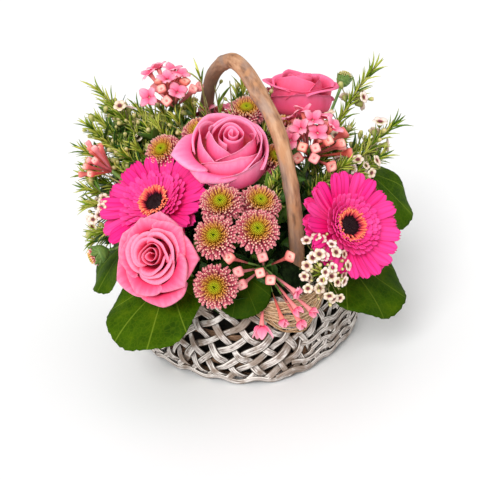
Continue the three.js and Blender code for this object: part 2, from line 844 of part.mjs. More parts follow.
function bouvardiaFlower(hub, out, reach) {
  const at = [1, reach - 7].map((far) => hub.clone().addScaledVector(out, far));
  const lobes = star(4, [10, 3], [4, 2.4], 0.8, -9);
  return [rod(at, [1.1, 1.7], 3), lobes.applyMatrix4(frameAlong(at[1].clone().addScaledVector(out, 5), out))];
}

function bouvardiaSpray(spray) {
  const hub = point(spray.hub);
  const axis = direction(spray.turn, spray.rise);
  const pieces = [stem(hub.clone().addScaledVector(axis, 3), axis.clone().negate(), spray.root, 1.9, 4, 4)];
  spreadRound(axis, spray.heads, spray.spread).forEach((out, k) => {
    const parts = k % 2 === 1 ? bouvardiaFlower(hub, out, spray.reach) : bouvardiaBud(hub, out, spray.reach);
    if (!parts.some(overlapsPlaced)) pieces.push(...parts);
  });
  return fuse(pieces);
}

function buildBouvardia() {
  BOUVARDIA.forEach((spray, i) => {
    addMesh(arrangement, `bouvardia_spray_${i + 1}`, bouvardiaSpray(spray), 'bouvardia');
  });
}

// Waxflower: a slim stem with needle leaves all round, and small cupped flowers near the tip

// A slim stem along a curve as one closed skin, with whorls of three needles that point out and forward
function needleStem(curve, radius, whorls, first) {
  const sides = 6;
  const needle = 17;
  const rings = [];
  let across = new THREE.Vector3(0.3, 1, 0.2);
  const addRing = (t, thick, spike, turn) => {
    const along = curve.getTangent(t);
    across = across.clone().addScaledVector(along, -across.dot(along)).normalize();
    const ring = [];
    for (let side = 0; side < sides; side += 1) {
      const out = across.clone().applyAxisAngle(along, (2 * Math.PI * side) / sides);
      const isNeedle = spike && (side + turn) % 2 === 0;
      const tip = curve.getPoint(t).addScaledVector(out, isNeedle ? needle * 0.62 : thick);
      ring.push(isNeedle ? tip.addScaledVector(along, needle * 0.6) : tip);
    }
    rings.push(ring);
  };
  addRing(0, radius, false, 0);
  for (let k = 0; k < whorls; k += 1) {
    const t = first + ((0.98 - first) * k) / (whorls - 1);
    const thick = radius * (1 - 0.45 * t);
    addRing(t - 0.012, thick, false, 0);
    addRing(t, thick, true, k);
    addRing(t + 0.012, thick, false, 0);
  }
  return skin(rings);
}

function waxCup(root, out) {
  return star(5, [5.4, 12], [3.8, 10.5], 8, -1).applyMatrix4(frameAlong(root, out));
}

function waxflowerSpray(spray) {
  const tip = point(spray.tip);
  const bend = point(spray.bend);
  const { entry, inward } = rootEnd(spray.root);
  const curve = new THREE.CubicBezierCurve3(entry, entry.clone().addScaledVector(inward, -30), bend, tip);
  foamHoles.push({ entry, inward, radius: 1.6 });
  const root = entry.clone().addScaledVector(inward, STEM_DEPTH);
  const pieces = [needleStem(curve, 1.6, spray.whorls, 0.38), rod([root, curve.getPoint(0.03)], [1.6, 1.6], 3)];
  const side = new THREE.Vector3();
  for (let k = 0; k < spray.cups; k += 1) {
    const t = 1 - 0.1 * k;
    const along = curve.getTangent(t);
    side.set(0, 0, 1).cross(along).normalize().applyAxisAngle(along, (k + 0.5) * GOLDEN_ANGLE);
    const out = along.clone().addScaledVector(side, k === 0 ? 0.2 : 1.2).normalize();
    const cup = waxCup(curve.getPoint(t), out);
    if (!overlapsPlaced(cup)) pieces.push(cup);
  }
  return fuse(pieces);
}

function buildWaxflower() {
  WAXFLOWER.forEach((spray, i) => {
    addMesh(arrangement, `waxflower_spray_${i + 1}`, waxflowerSpray(spray), 'waxflower');
  });
}

// The whole arrangement

function buildBasket() {
  addMesh(arrangement, 'basket_base', basketBase(), 'dark_strip');
  addMesh(arrangement, 'basket_wall', basketWall(), 'strip');
  addMesh(arrangement, 'basket_rim', basketRim(), 'strip');
  addMesh(arrangement, 'handle', handle(), 'branch');
  addMesh(arrangement, 'lashing_front', lashing(...LASHING_FRONT), 'fibre');
  addMesh(arrangement, 'lashing_back', lashing(...LASHING_BACK), 'fibre');
  addMesh(arrangement, 'liner', liner(), 'liner');
}

buildBasket();
buildRoses();
buildGerberas();
buildSantini();
buildLeaves();
buildBouvardia();
buildWaxflower();
addMesh(arrangement, 'floral_foam', foamWithHoles(), 'foam');

export default arrangement;
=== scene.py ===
"""The looks of the flower basket arrangement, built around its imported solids.

Sizes are in millimetres, and points are scaled to metres when a mesh is made.
"""

import math

import bpy
import numpy as np
from mathutils import Matrix, Vector


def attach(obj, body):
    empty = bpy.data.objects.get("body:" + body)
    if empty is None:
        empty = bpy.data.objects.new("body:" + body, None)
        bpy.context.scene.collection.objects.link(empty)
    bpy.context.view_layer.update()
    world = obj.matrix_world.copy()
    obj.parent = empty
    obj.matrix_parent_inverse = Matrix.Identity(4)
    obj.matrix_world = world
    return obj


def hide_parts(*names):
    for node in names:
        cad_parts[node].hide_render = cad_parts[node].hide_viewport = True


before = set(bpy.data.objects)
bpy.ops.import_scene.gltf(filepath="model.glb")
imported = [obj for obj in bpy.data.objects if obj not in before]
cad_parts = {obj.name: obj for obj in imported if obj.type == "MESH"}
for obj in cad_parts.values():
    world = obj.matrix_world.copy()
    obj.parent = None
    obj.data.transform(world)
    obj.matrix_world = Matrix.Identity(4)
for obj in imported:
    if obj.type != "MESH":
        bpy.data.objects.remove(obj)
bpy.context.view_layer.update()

MM = 0.001
GOLDEN_ANGLE = math.radians(137.5)
FULL_TURN = 2 * math.pi


def table(columns, *rows):
    """Rows of values as dictionaries, with the names of their columns given once."""
    return [dict(zip(columns.split(), row)) for row in rows]


# Basket
BASE_RADIUS = 88
RIM_RADIUS = 99
RIM_HEIGHT = 80
RIM_THICKNESS = 9
RIM_FOLDS = 38
WALL_BULGE = 0.35
CORNER_BULGE = 0.035
CORNER_TURN = math.radians(-84)
STRIP_WIDTH = 6.6
STRIP_THICKNESS = 1.1
STRIP_FOOT = 3.8
STRIPS_EACH_WAY = 33
STRIP_SLANTS = {1: math.radians(50), -1: math.radians(36)}
STRIP_SWING = 2.1
WEAVER_HEIGHTS = (20, 48)
WEAVER_WIDTH = 6
WEAVER_DEPTH = 3.6
BORDER_WIDTH = 4.6
MAT_RADIUS = 83
MAT_SPACING = 10.6
MAT_STRIP_WIDTH = 8.4

# Wavy strips outside the weave: height, how far out, where each starts and how far it reaches in degrees
BORDER_STRIPS = [
    (5.6, 2.6, -200, 190), (5.6, 2.6, -12, 175), (8.4, 3.6, -80, 100), (8.4, 3.6, 95, 110),
    (17, 4.2, -72, 78), (26, 4.0, -60, 70), (35, 4.2, -66, 72), (45, 4.0, -52, 60), (55, 4.0, -44, 52),
]

# Liner, behind the strips
LINER_FOOT = 6.5
LINER_TOP = 74
LINER_GAP = 8.5
LINER_DENT = 17

# Handle: its bends are points in its own plane, as distances from its middle and heights
HANDLE_DIAMETER = 13.6
HANDLE_HEIGHT = 258
HANDLE_REACH = 82
HANDLE_TURN = math.radians(-64)
HANDLE_CENTRE = (7, 10)
HANDLE_BENDS = [
    (78, 7), (82, 34), (HANDLE_REACH, 62), (81, 84), (83, 112), (83, 141), (79, 167), (68, 201), (54, 219),
    (37, 232), (17, 246), (0, HANDLE_HEIGHT - HANDLE_DIAMETER / 2), (-13, 250), (-30, 243), (-49, 229),
    (-62, 210), (-74, 180), (-81, 146), (-HANDLE_REACH, 116), (-79, 86), (-79, 62), (-78, 34), (-76, 7),
]
HANDLE_KNOTS = (0.13, 0.27, 0.41, 0.58, 0.71, 0.86)

# Fibre at the feet of the handle: its middle, half of its span round the rim, and its loops
LASHINGS = {
    "lashing_front": (math.radians(-69), math.radians(16), 4),
    "lashing_back": (math.radians(110), math.radians(16), 2),
}
STRANDS_IN_A_LOOP = 14

# Foam that the stems stand in
FOAM_RADIUS = 66
FOAM_SHOULDER = 82
FOAM_TOP = 98

# Half the thickness of each kind of stem, which is the same all the way
STEMS = {"rose": 2.7, "gerbera": 2.9, "santini": 2.3, "fork": 1.6, "bud": 1.4, "leaf": 1.4, "bouvardia": 1.8}

# Mound of moss over the foam, and the small leaves round it
MOSS_FOOT = 76
MOSS_RISE = 46
FILLER_LEAVES = 620
FILLER_LEAF = (24, 12)
FILLER_INNER_RADIUS = 40
FILLER_OUTER_RADIUS = 96
FILLER_FOOT = 84
FILLER_RISE = 56

# Blooms: at is the middle of a face, and turn and rise are the way that it looks, in degrees. A root is
# where the stem goes into the foam.
ROSE_HEIGHT = 46
ROSE_RADIUS = 38
GERBERA_EYE_RADIUS = 9.2
GERBERA_SPIKES = 150
GERBERA_FLORETS = 110
SANTINI_RADIUS = 18.4
SANTINI_FLORETS = 90
BUD_FLORETS = 34
BUD_SCALES = 16
WAXFLOWER_RADIUS = 5.2

# A rose's heart lies a little off its middle, and tube is how wide its rolled petals are. Each outer petal
# has its azimuth in degrees, how far out it stands and ends, the heights of its shoulder and its edge, and
# how pointed it is. A shoulder over the edge makes an open petal, and one far under it an upright one.
ROSES = table(
    "at turn rise spin root shift heart tube rings petals",
    ((-80, -122, 135), -114, 24, 20, (-33, -40), 5, (5, 3), 8.8, "open", [
        (5, 20, 33, -8, -12, 0.5), (75, 20, 34, -9, -12, 0.5), (140, 20, 32, -9, -13, 0.5),
        (200, 20, 35, -9, -13, 0.4), (280, 20, 35, -8, -12, 0.5), (321, 23, 37, -13, -17, 0.5),
        (47, 23, 39, -13, -16, 0.5), (107, 23, 37, -15, -15, 0.35), (166, 24, 41, -15, -17, 0.55),
        (238, 24, 38, -16, -18, 0.2),
    ]),
    ((-8, -44, 211), -75, 66, 70, (-7, -15), 0, (2, -6), 11.5, "half open", [
        (20, 22, 19, -20, -2, 0.4), (215, 27, 22, -26, -7, 0.45), (290, 26, 23, -24, -5, 0.5),
        (110, 25, 23, -22, -3, 0.5), (242, 32, 29, -32, -14, 0.4), (325, 29, 29, -28, -9, 0.5),
        (50, 26, 28, -22, -6, 0.5), (118, 26, 46, -19, -19, 0.55), (168, 28, 40, -20, -27, 0.3),
    ]),
    ((66, 74, 218), 50, 80, 10, (24, 31), 0, (0, 0), 10.5, "half open", [
        (100, 24, 27, -18, -3, 0.3), (40, 24, 28, -18, -3, 0.3), (222, 26, 30, -25, -9, 0.3),
        (300, 26, 30, -25, -8, 0.3), (262, 28, 32, -28, -13, 0.3), (165, 26, 35, -14, -6, 0.3),
        (335, 26, 37, -14, -7, 0.3),
    ]),
)

# pressed is how far the upper rays are pushed back by the heads over them
GERBERAS = table(
    "at turn rise spin radius root pressed",
    ((-71, -38, 151), -128, 52, 4, 52, (-40, -18), 15),
    ((86, -76, 132), -55, 34, 9, 47, (40, -31), 0),
)
HEAD = "at turn rise"
SANTINI_SPRAYS = table(
    "fork root heads",
    ((-22, -46, 103), (-13, -33), table(
        HEAD, ((-16, -89, 170), -97, 50), ((-23, -117, 154), -104, 40), ((-26, -132, 117), -100, 24))),
    ((8, -44, 107), (6, -31), table(
        HEAD, ((11, -114, 155), -84, 42), ((16, -76, 162), -70, 56), ((33, -24, 178), -50, 60))),
    ((-26, 8, 128), (-20, 4), table(
        HEAD, ((-64, 6, 182), -118, 50), ((-30, 14, 194), -105, 62), ((13, 44, 200), -85, 66))),
    ((22, 58, 112), (9, 44), table(
        HEAD, ((48, 20, 192), 20, 70), ((38, 100, 155), 70, 34), ((-64, 82, 149), 128, 34))),
)
SANTINI_BUDS = table(
    "at turn rise root petals size",
    ((-131, -42, 107), -165, -14, (-52, -24), "quill", 1.0),
    ((104, 54, 220), 30, 60, (37, 24), "calyx", 0.8),
)
# light is how lit each galax leaf is: from the most painted shade at 0 to none at 1.
LEAVES = table(
    "at turn rise root size light",
    ((-79, -98, 87), -126, 63, (-42, -35), 41, 0.7),
    ((-115, -17, 93), -168, 46, (-56, 0), 34, 0.5),
    ((99, -66, 79), -39, 58, (55, -18), 40, 0.35),
    ((128, 4, 124), -35, 42, (57, 6), 36, 0.7),
    ((-5, -106, 98), -89, 50, (6, -52), 23, 0.0),
    ((74, 90, 98), 50, 34, (40, 40), 40, 0.8),
    ((-30, 116, 96), 104, 34, (-13, 53), 40, 0.9),
    ((-100, 62, 101), 148, 28, (-48, 29), 40, 0.7),
)

# at is the hub that a spray grows from, and face half the width of a closed flower. flowers are the middles
# of those placed one by one. others are how many more spread round the spray's direction, how widely in
# degrees, and how far they reach. open and opening say which flowers are open or half open.
BOUVARDIA = table(
    "at turn rise root face others open opening flowers",
    ((14, -88, 107), -84, 16, (17, -46), 4.3, (0, 0, 0), (9,), (7, 8, 10, 11, 12), [
        (-14, -124, 138), (13, -118, 133), (-8, -122, 123), (-6, -124, 112), (10, -125, 122),
        (18, -124, 114), (36, -112, 128), (38, -116, 97), (37, -118, 83), (8, -122, 72), (25, -120, 75),
        (39, -116, 70), (49, -112, 77),
    ]),
    ((62, -8, 168), -10, 72, (31, -7), 4.3, (8, 60, 36), (0, 1, 2, 3, 4, 5, 7, 8), (), [
        (50, 4, 200), (60, 5, 205), (55, -22, 200), (66, -17, 205), (75, -9, 204), (82, -20, 198),
        (78, -30, 191), (69, -25, 196), (46, -26, 192), (90, -27, 186), (66, -36, 187), (64, -40, 179),
        (79, -40, 170), (99, -16, 172), (96, -5, 188), (50, -33, 178),
    ]),
    ((-51, 48, 204), 140, 60, (-31, 24), 4.3, (6, 50, 34), (0, 1, 2, 3, 4, 6, 11), (), [
        (-70, 54, 236), (-62, 56, 239), (-50, 51, 238), (-54, 35, 235), (-43, 41, 237), (-60, 28, 230),
        (-71, 24, 224), (-56, 19, 221), (-31, 29, 227), (-25, 35, 227), (-38, 36, 233), (-46, 27, 225),
    ]),
    ((-108, -2, 168), 176, 42, (-50, 6), 2.7, (5, 44, 30), (), (), [
        (-127, 4, 196), (-120, -9, 195), (-126, 2, 192), (-117, -6, 193), (-125, -25, 177), (-129, -19, 182),
        (-120, -19, 187),
    ]),
    ((-10, 66, 164), 96, 52, (-6, 31), 4.3, (14, 60, 34), (1, 4, 7, 10, 13), (), []),
)
WAXFLOWER = table(
    "tip bend root cups",
    ((126, 31, 230), (89, 26, 193), (42, 13), 6),
    ((138, 5, 186), (98, -2, 158), (48, -7), 9),
    ((61, -112, 110), (64, -76, 92), (48, -37), 4),
    ((-127, -16, 146), (-94, -6, 134), (-53, -2), 6),
    ((-116, 45, 228), (-77, 30, 186), (-39, 15), 6),
    ((-25, 26, 236), (-20, 30, 186), (-17, 33), 2),
    ((12, 116, 195), (10, 76, 146), (2, 53), 9),
)

# Bunches of open waxflowers by the number of their spray; reach is half the width and half the height
WAX_BUNCHES = dict(zip((2, 3, 4), table(
    "at turn rise reach cups",
    ((107, -22, 162), -75, 34, (19, 9), 7),
    ((66, -116, 116), -70, 24, (21, 30), 26),
    ((-127, -26, 136), -120, 16, (12, 22), 14),
)))

# Short sprigs of needles between the blooms: the tip of each, and how many buds it carries
SPRIGS = [
    ((-128, 20, 207), 5), ((-134, 10, 188), 2), ((-134, 0, 168), 3), ((-112, 50, 214), 4),
    ((-102, 60, 204), 5), ((-87, 70, 202), 4), ((-75, 72, 197), 5), ((-110, 35, 193), 4),
    ((-122, 12, 180), 3), ((-92, 40, 196), 5), ((-77, 30, 196), 4), ((-99, 10, 181), 3),
    ((-50, 24, 205), 4), ((-23, 44, 214), 3), ((-14, 56, 222), 2), ((0, 50, 224), 1), ((12, 66, 216), 2),
    ((34, 52, 208), 4), ((24, 72, 206), 3), ((104, 40, 172), 4), ((120, 22, 168), 5), ((128, -2, 162), 3),
    ((-128, -32, 126), 2), ((-132, -18, 112), 1), ((28, -62, 168), 0), ((32, -66, 158), 0),
    ((36, -58, 176), 0), ((92, -30, 168), 3), ((104, -20, 156), 2), ((70, 100, 168), 3),
    ((96, 72, 160), 3), ((44, 112, 170), 2), ((-20, 112, 176), 4), ((-52, 104, 172), 3),
    ((-88, 84, 166), 3), ((-120, 34, 208), 3), ((-106, 46, 206), 4), ((-94, 52, 200), 4),
    ((-84, 44, 196), 3), ((-118, 20, 194), 3), ((-104, 24, 190), 2), ((-88, 16, 184), 2),
    ((-128, -8, 178), 2), ((-132, -14, 160), 2), ((-128, -22, 148), 1), ((-64, 52, 204), 3),
    ((-68, 28, 198), 2), ((-38, 52, 210), 3), ((-52, 66, 206), 3), ((-98, 2, 170), 1),
    ((-112, 52, 152), 3), ((118, 44, 140), 2), ((6, 96, 200), 2), ((-40, 84, 196), 3), ((48, 74, 196), 3),
]
NEEDLE_LENGTH = 18
NEEDLES_ON_A_STEM = 84
SPRIG_LEAF = (22, 9)

# Camera, from the photo: the point that it looks at, its distance, and how wide its view is there
CAMERA_TARGET = (-3.2, 0, 91)
CAMERA_DISTANCE = 900
CAMERA_VIEW_WIDTH = 432
CAMERA_ELEVATION = math.radians(26)
CAMERA_ROLL = math.radians(5)

# Light: the strength of the white all round and of the lamp, and the width of the lamp's source
WORLD_STRENGTH = 0.74
LAMP_STRENGTH = 2.3
LAMP_SPREAD = math.radians(30)
LAMP_PLACE = (-0.4, -1.0, 0.9)
FLOOR_METRES = 60


# Directions and frames

def direction(turn, rise):
    """A unit vector from a compass turn and a rise in degrees."""
    t, r = math.radians(turn), math.radians(rise)
    return np.array([math.cos(t) * math.cos(r), math.sin(t) * math.cos(r), math.sin(r)])


def facing(bloom):
    return direction(bloom["turn"], bloom["rise"])


def aimed(origin, out, spin=0.0):
    """The 4 x 4 frame that has its origin at a point and its Z along a direction, after a spin round Z."""
    turn = Vector((0, 0, 1)).rotation_difference(Vector(out)).to_matrix() @ Matrix.Rotation(spin, 3, "Z")
    made = np.eye(4)
    made[:3, :3] = np.array(turn)
    made[:3, 3] = origin
    return made


def bloom_frame(bloom):
    return aimed(bloom["at"], facing(bloom), math.radians(bloom.get("spin", 0)))


def shifted(x, y, z=0):
    return np.array(Matrix.Translation((x, y, z)))


def tilted(angle):
    return np.array(Matrix.Rotation(angle, 4, "Y"))


def stretched(x, y, z):
    return np.diag([x, y, z, 1.0])


def ring_frame(azimuth, radius=0, height=0, tilt=0.0):
    """A frame on a ring round Z, with its X pointing outwards and tilted up."""
    return np.array(Matrix.Rotation(azimuth, 4, "Z")) @ shifted(radius, 0, height) @ tilted(-tilt)


def leaning_frame(origin, along, azimuth, lean):
    """A frame on a stem: X points forward along it and outwards by lean, at an azimuth round it."""
    return aimed(origin, along, azimuth) @ tilted(lean - math.pi / 2)


def moved(skin, place):
    return skin @ place[:3, :3].T + place[:3, 3]


def unit(vector):
    return vector / np.linalg.norm(vector)


def points(x, y, z):
    return np.stack(np.broadcast_arrays(x, y, z), -1)


def polar(radius, angle, height):
    return points(radius * np.cos(angle), radius * np.sin(angle), height)


def full_ring(sides):
    return np.linspace(0, FULL_TURN, sides, endpoint=False)


def golden_spread(count, first=0.5):
    """Shares of a radius and azimuths that spread points evenly over a disc."""
    for k in range(count):
        yield math.sqrt((k + first) / count), k * GOLDEN_ANGLE


def bezier(corners, steps):
    """Points along a cubic curve with four control points."""
    a, b, c, d = [np.array(corner, float) for corner in corners]
    t = np.linspace(0, 1, steps)[:, None]
    return a * (1 - t) ** 3 + 3 * b * t * (1 - t) ** 2 + 3 * c * t ** 2 * (1 - t) + d * t ** 3


def smooth_path(bends, steps):
    """A smooth curve that passes through points."""
    bends = np.array(bends, float)
    ends = np.vstack([2 * bends[0] - bends[1], bends, 2 * bends[-1] - bends[-2]])
    place = np.linspace(0, len(bends) - 1 - 1e-9, steps)
    i = place.astype(int)
    t = (place - i)[:, None]
    a, b, c, d = ends[i], ends[i + 1], ends[i + 2], ends[i + 3]
    curve = 2 * b + (c - a) * t + (2 * a - 5 * b + 4 * c - d) * t ** 2 + (3 * b - a - 3 * c + d) * t ** 3
    return 0.5 * curve


# Shapes: each is (points, faces, values). The values are three numbers a point: along, across and tag.

def grid_faces(rows, columns, closed=False):
    """Quads of a grid of points, joined round its columns when closed."""
    across = columns if closed else columns - 1
    row, column = np.meshgrid(np.arange(rows - 1), np.arange(across), indexing="ij")
    here = (row * columns + column).ravel()
    beside = (row * columns + (column + 1) % columns).ravel()
    return np.stack([here, beside, beside + columns, here + columns], 1)


def sheet(surface, sizes, rows, columns, thickness, tag=0.5):
    """A thin closed blade. surface takes u from root to tip, v from -1 to 1 across, and the sizes."""
    u, v = np.meshgrid(np.linspace(0, 1, rows), np.linspace(-1, 1, columns), indexing="ij")
    middle = surface(u, v, *sizes)
    normal = np.cross(np.gradient(middle, axis=0), np.gradient(middle, axis=1))
    normal /= np.linalg.norm(normal, axis=2, keepdims=True) + 1e-12
    thin = 0.35 + 0.65 * (1 - np.maximum(np.abs(v), 2 * np.abs(u - 0.5)) ** 6)
    offset = normal * (thickness / 2 * thin)[..., None]
    count = rows * columns
    faces = grid_faces(rows, columns)
    corner = np.arange(count).reshape(rows, columns)
    edge = np.concatenate([corner[0, :-1], corner[:-1, -1], corner[-1, :0:-1], corner[:0:-1, 0]])
    after = np.roll(edge, -1)
    sides = np.stack([edge, edge + count, after + count, after], 1)
    values = points(u, v, tag)
    return (
        np.stack([middle + offset, middle - offset]).reshape(-1, 3),
        np.vstack([faces[:, ::-1], faces + count, sides[:, ::-1]]),
        np.stack([values, values]).reshape(-1, 3),
    )


def tube(path, radii, sides, tag=0.5, flat=1.0, side=(0.31, 0.2, 0.93)):
    """A closed round tube along a path. flat squeezes it in one direction."""
    path = np.array(path, float)
    radii = np.broadcast_to(np.array(radii, float), (len(path),))
    along = np.gradient(path, axis=0)
    along /= np.linalg.norm(along, axis=1, keepdims=True) + 1e-12
    across = np.empty_like(path)
    last = np.array(side, float)
    for i, forward in enumerate(along):
        last = unit(last - forward * (last @ forward))
        across[i] = last
    up = np.cross(along, across)
    angle = full_ring(sides)[None, :, None]
    ring = np.cos(angle) * across[:, None] + flat * np.sin(angle) * up[:, None]
    skin = (path[:, None] + ring * radii[:, None, None]).reshape(-1, 3)
    count = len(skin)
    near = np.arange(sides)
    far = near + count - sides
    start = np.stack([np.full(sides, count), np.roll(near, -1), near, near], 1)
    end = np.stack([np.full(sides, count + 1), far, np.roll(far, -1), np.roll(far, -1)], 1)
    values = points(np.linspace(0, 1, len(path))[:, None], np.linspace(-1, 1, sides, endpoint=False), tag)
    return (
        np.vstack([skin, path[0], path[-1]]),
        np.vstack([grid_faces(len(path), sides, closed=True), start, end]),
        np.vstack([values.reshape(-1, 3), [0, 0, tag], [1, 0, tag]]),
    )


def turned(outline, sides, squareness=(0,)):
    """A turned shape round Z from an outline of (radius, height). squareness makes its section square."""
    radius, height = np.array(outline, float).T[:, :, None]
    angle = full_ring(sides)
    square = np.minimum(1 / np.maximum(np.abs(np.cos(angle)), np.abs(np.sin(angle))), 1.3)
    reach = 1 + np.reshape(squareness, (-1, 1)) * (square - 1)
    values = points(np.linspace(0, 1, len(outline))[:, None], angle / math.pi - 1, 0.5)
    return (
        polar(radius * reach, angle, height).reshape(-1, 3),
        grid_faces(len(outline), sides, closed=True),
        values.reshape(-1, 3),
    )


def revalued(shape, change):
    """A shape with its values along itself changed by a function."""
    skin, faces, values = shape
    values = values.copy()
    values[:, 0] = change(values[:, 0])
    return skin, faces, values


def turned_upwards(outline, sides, squareness=(0,)):
    """A turned shape from an outline that starts at its foot, with its values running the same way."""
    return revalued(turned(outline[::-1], sides, squareness[::-1]), lambda along: 1 - along)


def placed(shape, place, tag=None):
    skin, faces, values = shape
    if tag is not None:
        values = values.copy()
        values[:, 2] = tag
    return moved(skin, place), faces, values


class Piece:
    """Gathers shapes, each with the name of its material, and makes one mesh object of them."""

    def __init__(self, name):
        self.name = name
        self.points, self.faces, self.values, self.slots = [], [], [], []
        self.count = 0
        self.materials = []

    def add(self, shape, material):
        skin, faces, values = shape
        if material not in self.materials:
            self.materials.append(material)
        self.points.append(skin)
        self.faces.append(faces + self.count)
        self.values.append(values)
        self.slots.append(np.full(len(faces), self.materials.index(material)))
        self.count += len(skin)

    def make(self, slot, *nodes):
        faces = np.vstack(self.faces).tolist()
        corners = [face[:3] if face[2] == face[3] else face for face in faces]
        mesh = bpy.data.meshes.new(self.name)
        mesh.from_pydata((np.vstack(self.points) * MM).tolist(), [], corners)
        place = mesh.attributes.new("place", "FLOAT_VECTOR", "POINT")
        place.data.foreach_set("vector", np.vstack(self.values).astype(np.float32).ravel())
        for material in self.materials:
            mesh.materials.append(MATERIALS[material])
        mesh.polygons.foreach_set("material_index", np.concatenate(self.slots).astype(np.int32))
        mesh.polygons.foreach_set("use_smooth", np.full(len(corners), True))
        mesh.update()
        made = bpy.data.objects.new(self.name, mesh)
        bpy.context.collection.objects.link(made)
        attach(made, "root")
        if nodes:
            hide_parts(*nodes)


# Materials

class Paint:
    """A material's node tree, with short ways to add the nodes that the materials here share."""

    def __init__(self, name, roughness, specular=0.5, subsurface=0.0, radius=None):
        self.material = bpy.data.materials.new(name)
        self.material.use_nodes = True
        self.shader = self.material.node_tree.nodes["Principled BSDF"]
        self.set(self.shader, {
            "Roughness": roughness, "Specular IOR Level": specular, "Subsurface Weight": subsurface,
            "Subsurface Radius": radius,
        })
        read = self.node("Attribute", attribute_name="place")
        split = self.node("SeparateXYZ", read.outputs["Vector"])
        self.along, self.across, self.tag = split.outputs

    def feed(self, socket, value):
        """Links a socket, or sets a number or a colour."""
        if isinstance(value, bpy.types.NodeSocket):
            self.material.node_tree.links.new(value, socket)
        elif value is not None:
            socket.default_value = (*value, 1) if socket.type == "RGBA" else value

    def set(self, node, values):
        for name, value in values.items():
            self.feed(node.inputs[name], value)

    def node(self, kind, *values, **settings):
        """A new node, with values for its inputs in their order."""
        made = self.material.node_tree.nodes.new("ShaderNode" + kind)
        for key, value in settings.items():
            setattr(made, key, value)
        for socket, value in zip(made.inputs, values):
            self.feed(socket, value)
        return made

    def math(self, operation, *values):
        return self.node("Math", *values, operation=operation).outputs[0]

    def times(self, a, b):
        return self.math("MULTIPLY", a, b)

    def folded(self, value):
        """Runs up to a half and down again for each step of one."""
        return self.math("PINGPONG", value, 0.5)

    def aside(self):
        """How far a point is from the middle line, from 0 to 1."""
        return self.math("ABSOLUTE", self.across)

    def noise(self, scale, detail=3, vector=None):
        vector = vector or self.node("TexCoord").outputs["Object"]
        made = self.node("TexNoise", vector)
        self.set(made, {"Scale": scale, "Detail": detail})
        return made.outputs["Fac"]

    def streaks(self, across, along, detail=3, scale=1.0):
        """Noise drawn out along a strip, stem or petal, which changes so often across and along it."""
        drawn = self.node(
            "CombineXYZ",
            self.times(self.along, along),
            self.times(self.across, across),
            self.times(self.tag, 37.0),
        )
        return self.noise(scale, detail, drawn.outputs[0])

    def ramp(self, where, *stops):
        """Colours by place: each stop is a position with (r, g, b) or a grey."""
        made = self.node("ValToRGB", where)
        elements = made.color_ramp.elements
        while len(elements) < len(stops):
            elements.new(0.5)
        for element, (position, colour) in zip(elements, stops):
            element.position = position
            element.color = (*np.broadcast_to(colour, 3).tolist(), 1)
        return made.outputs[0]

    def mix(self, share, base, over, blend="MIX"):
        made = self.node("Mix", share, data_type="RGBA", blend_type=blend)
        self.feed(made.inputs[6], base)
        self.feed(made.inputs[7], over)
        return made.outputs[2]

    def over(self, base, colour, where, *stops):
        """A colour laid over a base, as strongly as a ramp says."""
        return self.mix(self.ramp(where, *stops), base, colour)

    def painted(self, colour, height=None, strength=0.5, distance=0.5):
        """The finished material in its colour, with bumps where there is a height."""
        self.set(self.shader, {"Base Color": colour})
        if height is not None:
            bump = self.node("Bump")
            self.set(bump, {"Strength": strength, "Distance": distance * MM, "Height": height})
            self.set(self.shader, {"Normal": bump.outputs[0]})
        return self.material


def washed_strip_material():
    """Grey strips with streaks along them, and a painted highlight as a bright line inside painted shade at
    the edge.
    """
    paint = Paint("whitewashed_strip", 0.8, 0.25)
    streaks = paint.streaks(3, 18, 4)
    wash = paint.ramp(
        streaks, (0.33, (0.11, 0.08, 0.065)), (0.43, (0.38, 0.32, 0.29)), (0.54, (0.60, 0.54, 0.50)),
        (0.68, (0.84, 0.79, 0.75)))
    edge = paint.aside()
    # Painted highlight: a bright line near each edge of a strip.
    edge_highlighted = paint.over(wash, (0.95, 0.89, 0.81), edge, (0.5, 0.0), (0.64, 0.8), (0.76, 0.8), (0.82, 0.0))
    # Painted shade: a dark band along each edge of a strip.
    edge_shaded = paint.over(edge_highlighted, (0.05, 0.033, 0.024), edge, (0.76, 0.0), (0.85, 0.95))
    patched = paint.over(edge_shaded, (0.23, 0.16, 0.115), paint.noise(60), (0.5, 0.0), (0.6, 0.75))
    return paint.painted(patched, streaks, 0.6, 0.6)


def brown_strip_material():
    paint = Paint("brown_strip", 0.8, 0.2)
    streaks = paint.streaks(5, 30, 4)
    tone = paint.ramp(
        streaks, (0.3, (0.06, 0.032, 0.02)), (0.55, (0.25, 0.14, 0.08)), (0.75, (0.42, 0.26, 0.16)))
    return paint.painted(tone, streaks)


def bark_material():
    """Red-brown bark with grey and orange stretches, darker on the far leg of the handle."""
    paint = Paint("bark", 0.7, 0.2)
    base = paint.ramp(
        paint.streaks(5, 40, 5), (0.3, (0.22, 0.11, 0.06)), (0.45, (0.43, 0.215, 0.115)),
        (0.64, (0.60, 0.345, 0.205)))
    greyed = paint.over(base, (0.30, 0.25, 0.235), paint.streaks(1.2, 22), (0.48, 0.0), (0.66, 0.5))
    tanned = paint.over(greyed, (0.55, 0.27, 0.13), paint.streaks(1.6, 34, 2, 1.4), (0.54, 0.0), (0.66, 0.7))
    shaded = paint.over(tanned, (0.19, 0.13, 0.10), paint.along, (0.5, 0.0), (0.66, 0.75))
    return paint.painted(shaded, paint.noise(210, 5), 0.55, 0.6)


def fibre_material():
    paint = Paint("plant_fibre", 0.85, 0.15)
    tone = paint.math("ADD", paint.times(paint.streaks(1, 40), 0.6), paint.times(paint.tag, 0.4))
    return paint.painted(
        paint.ramp(tone, (0.25, (0.30, 0.17, 0.08)), (0.5, (0.68, 0.46, 0.27)), (0.8, (0.88, 0.70, 0.50))))


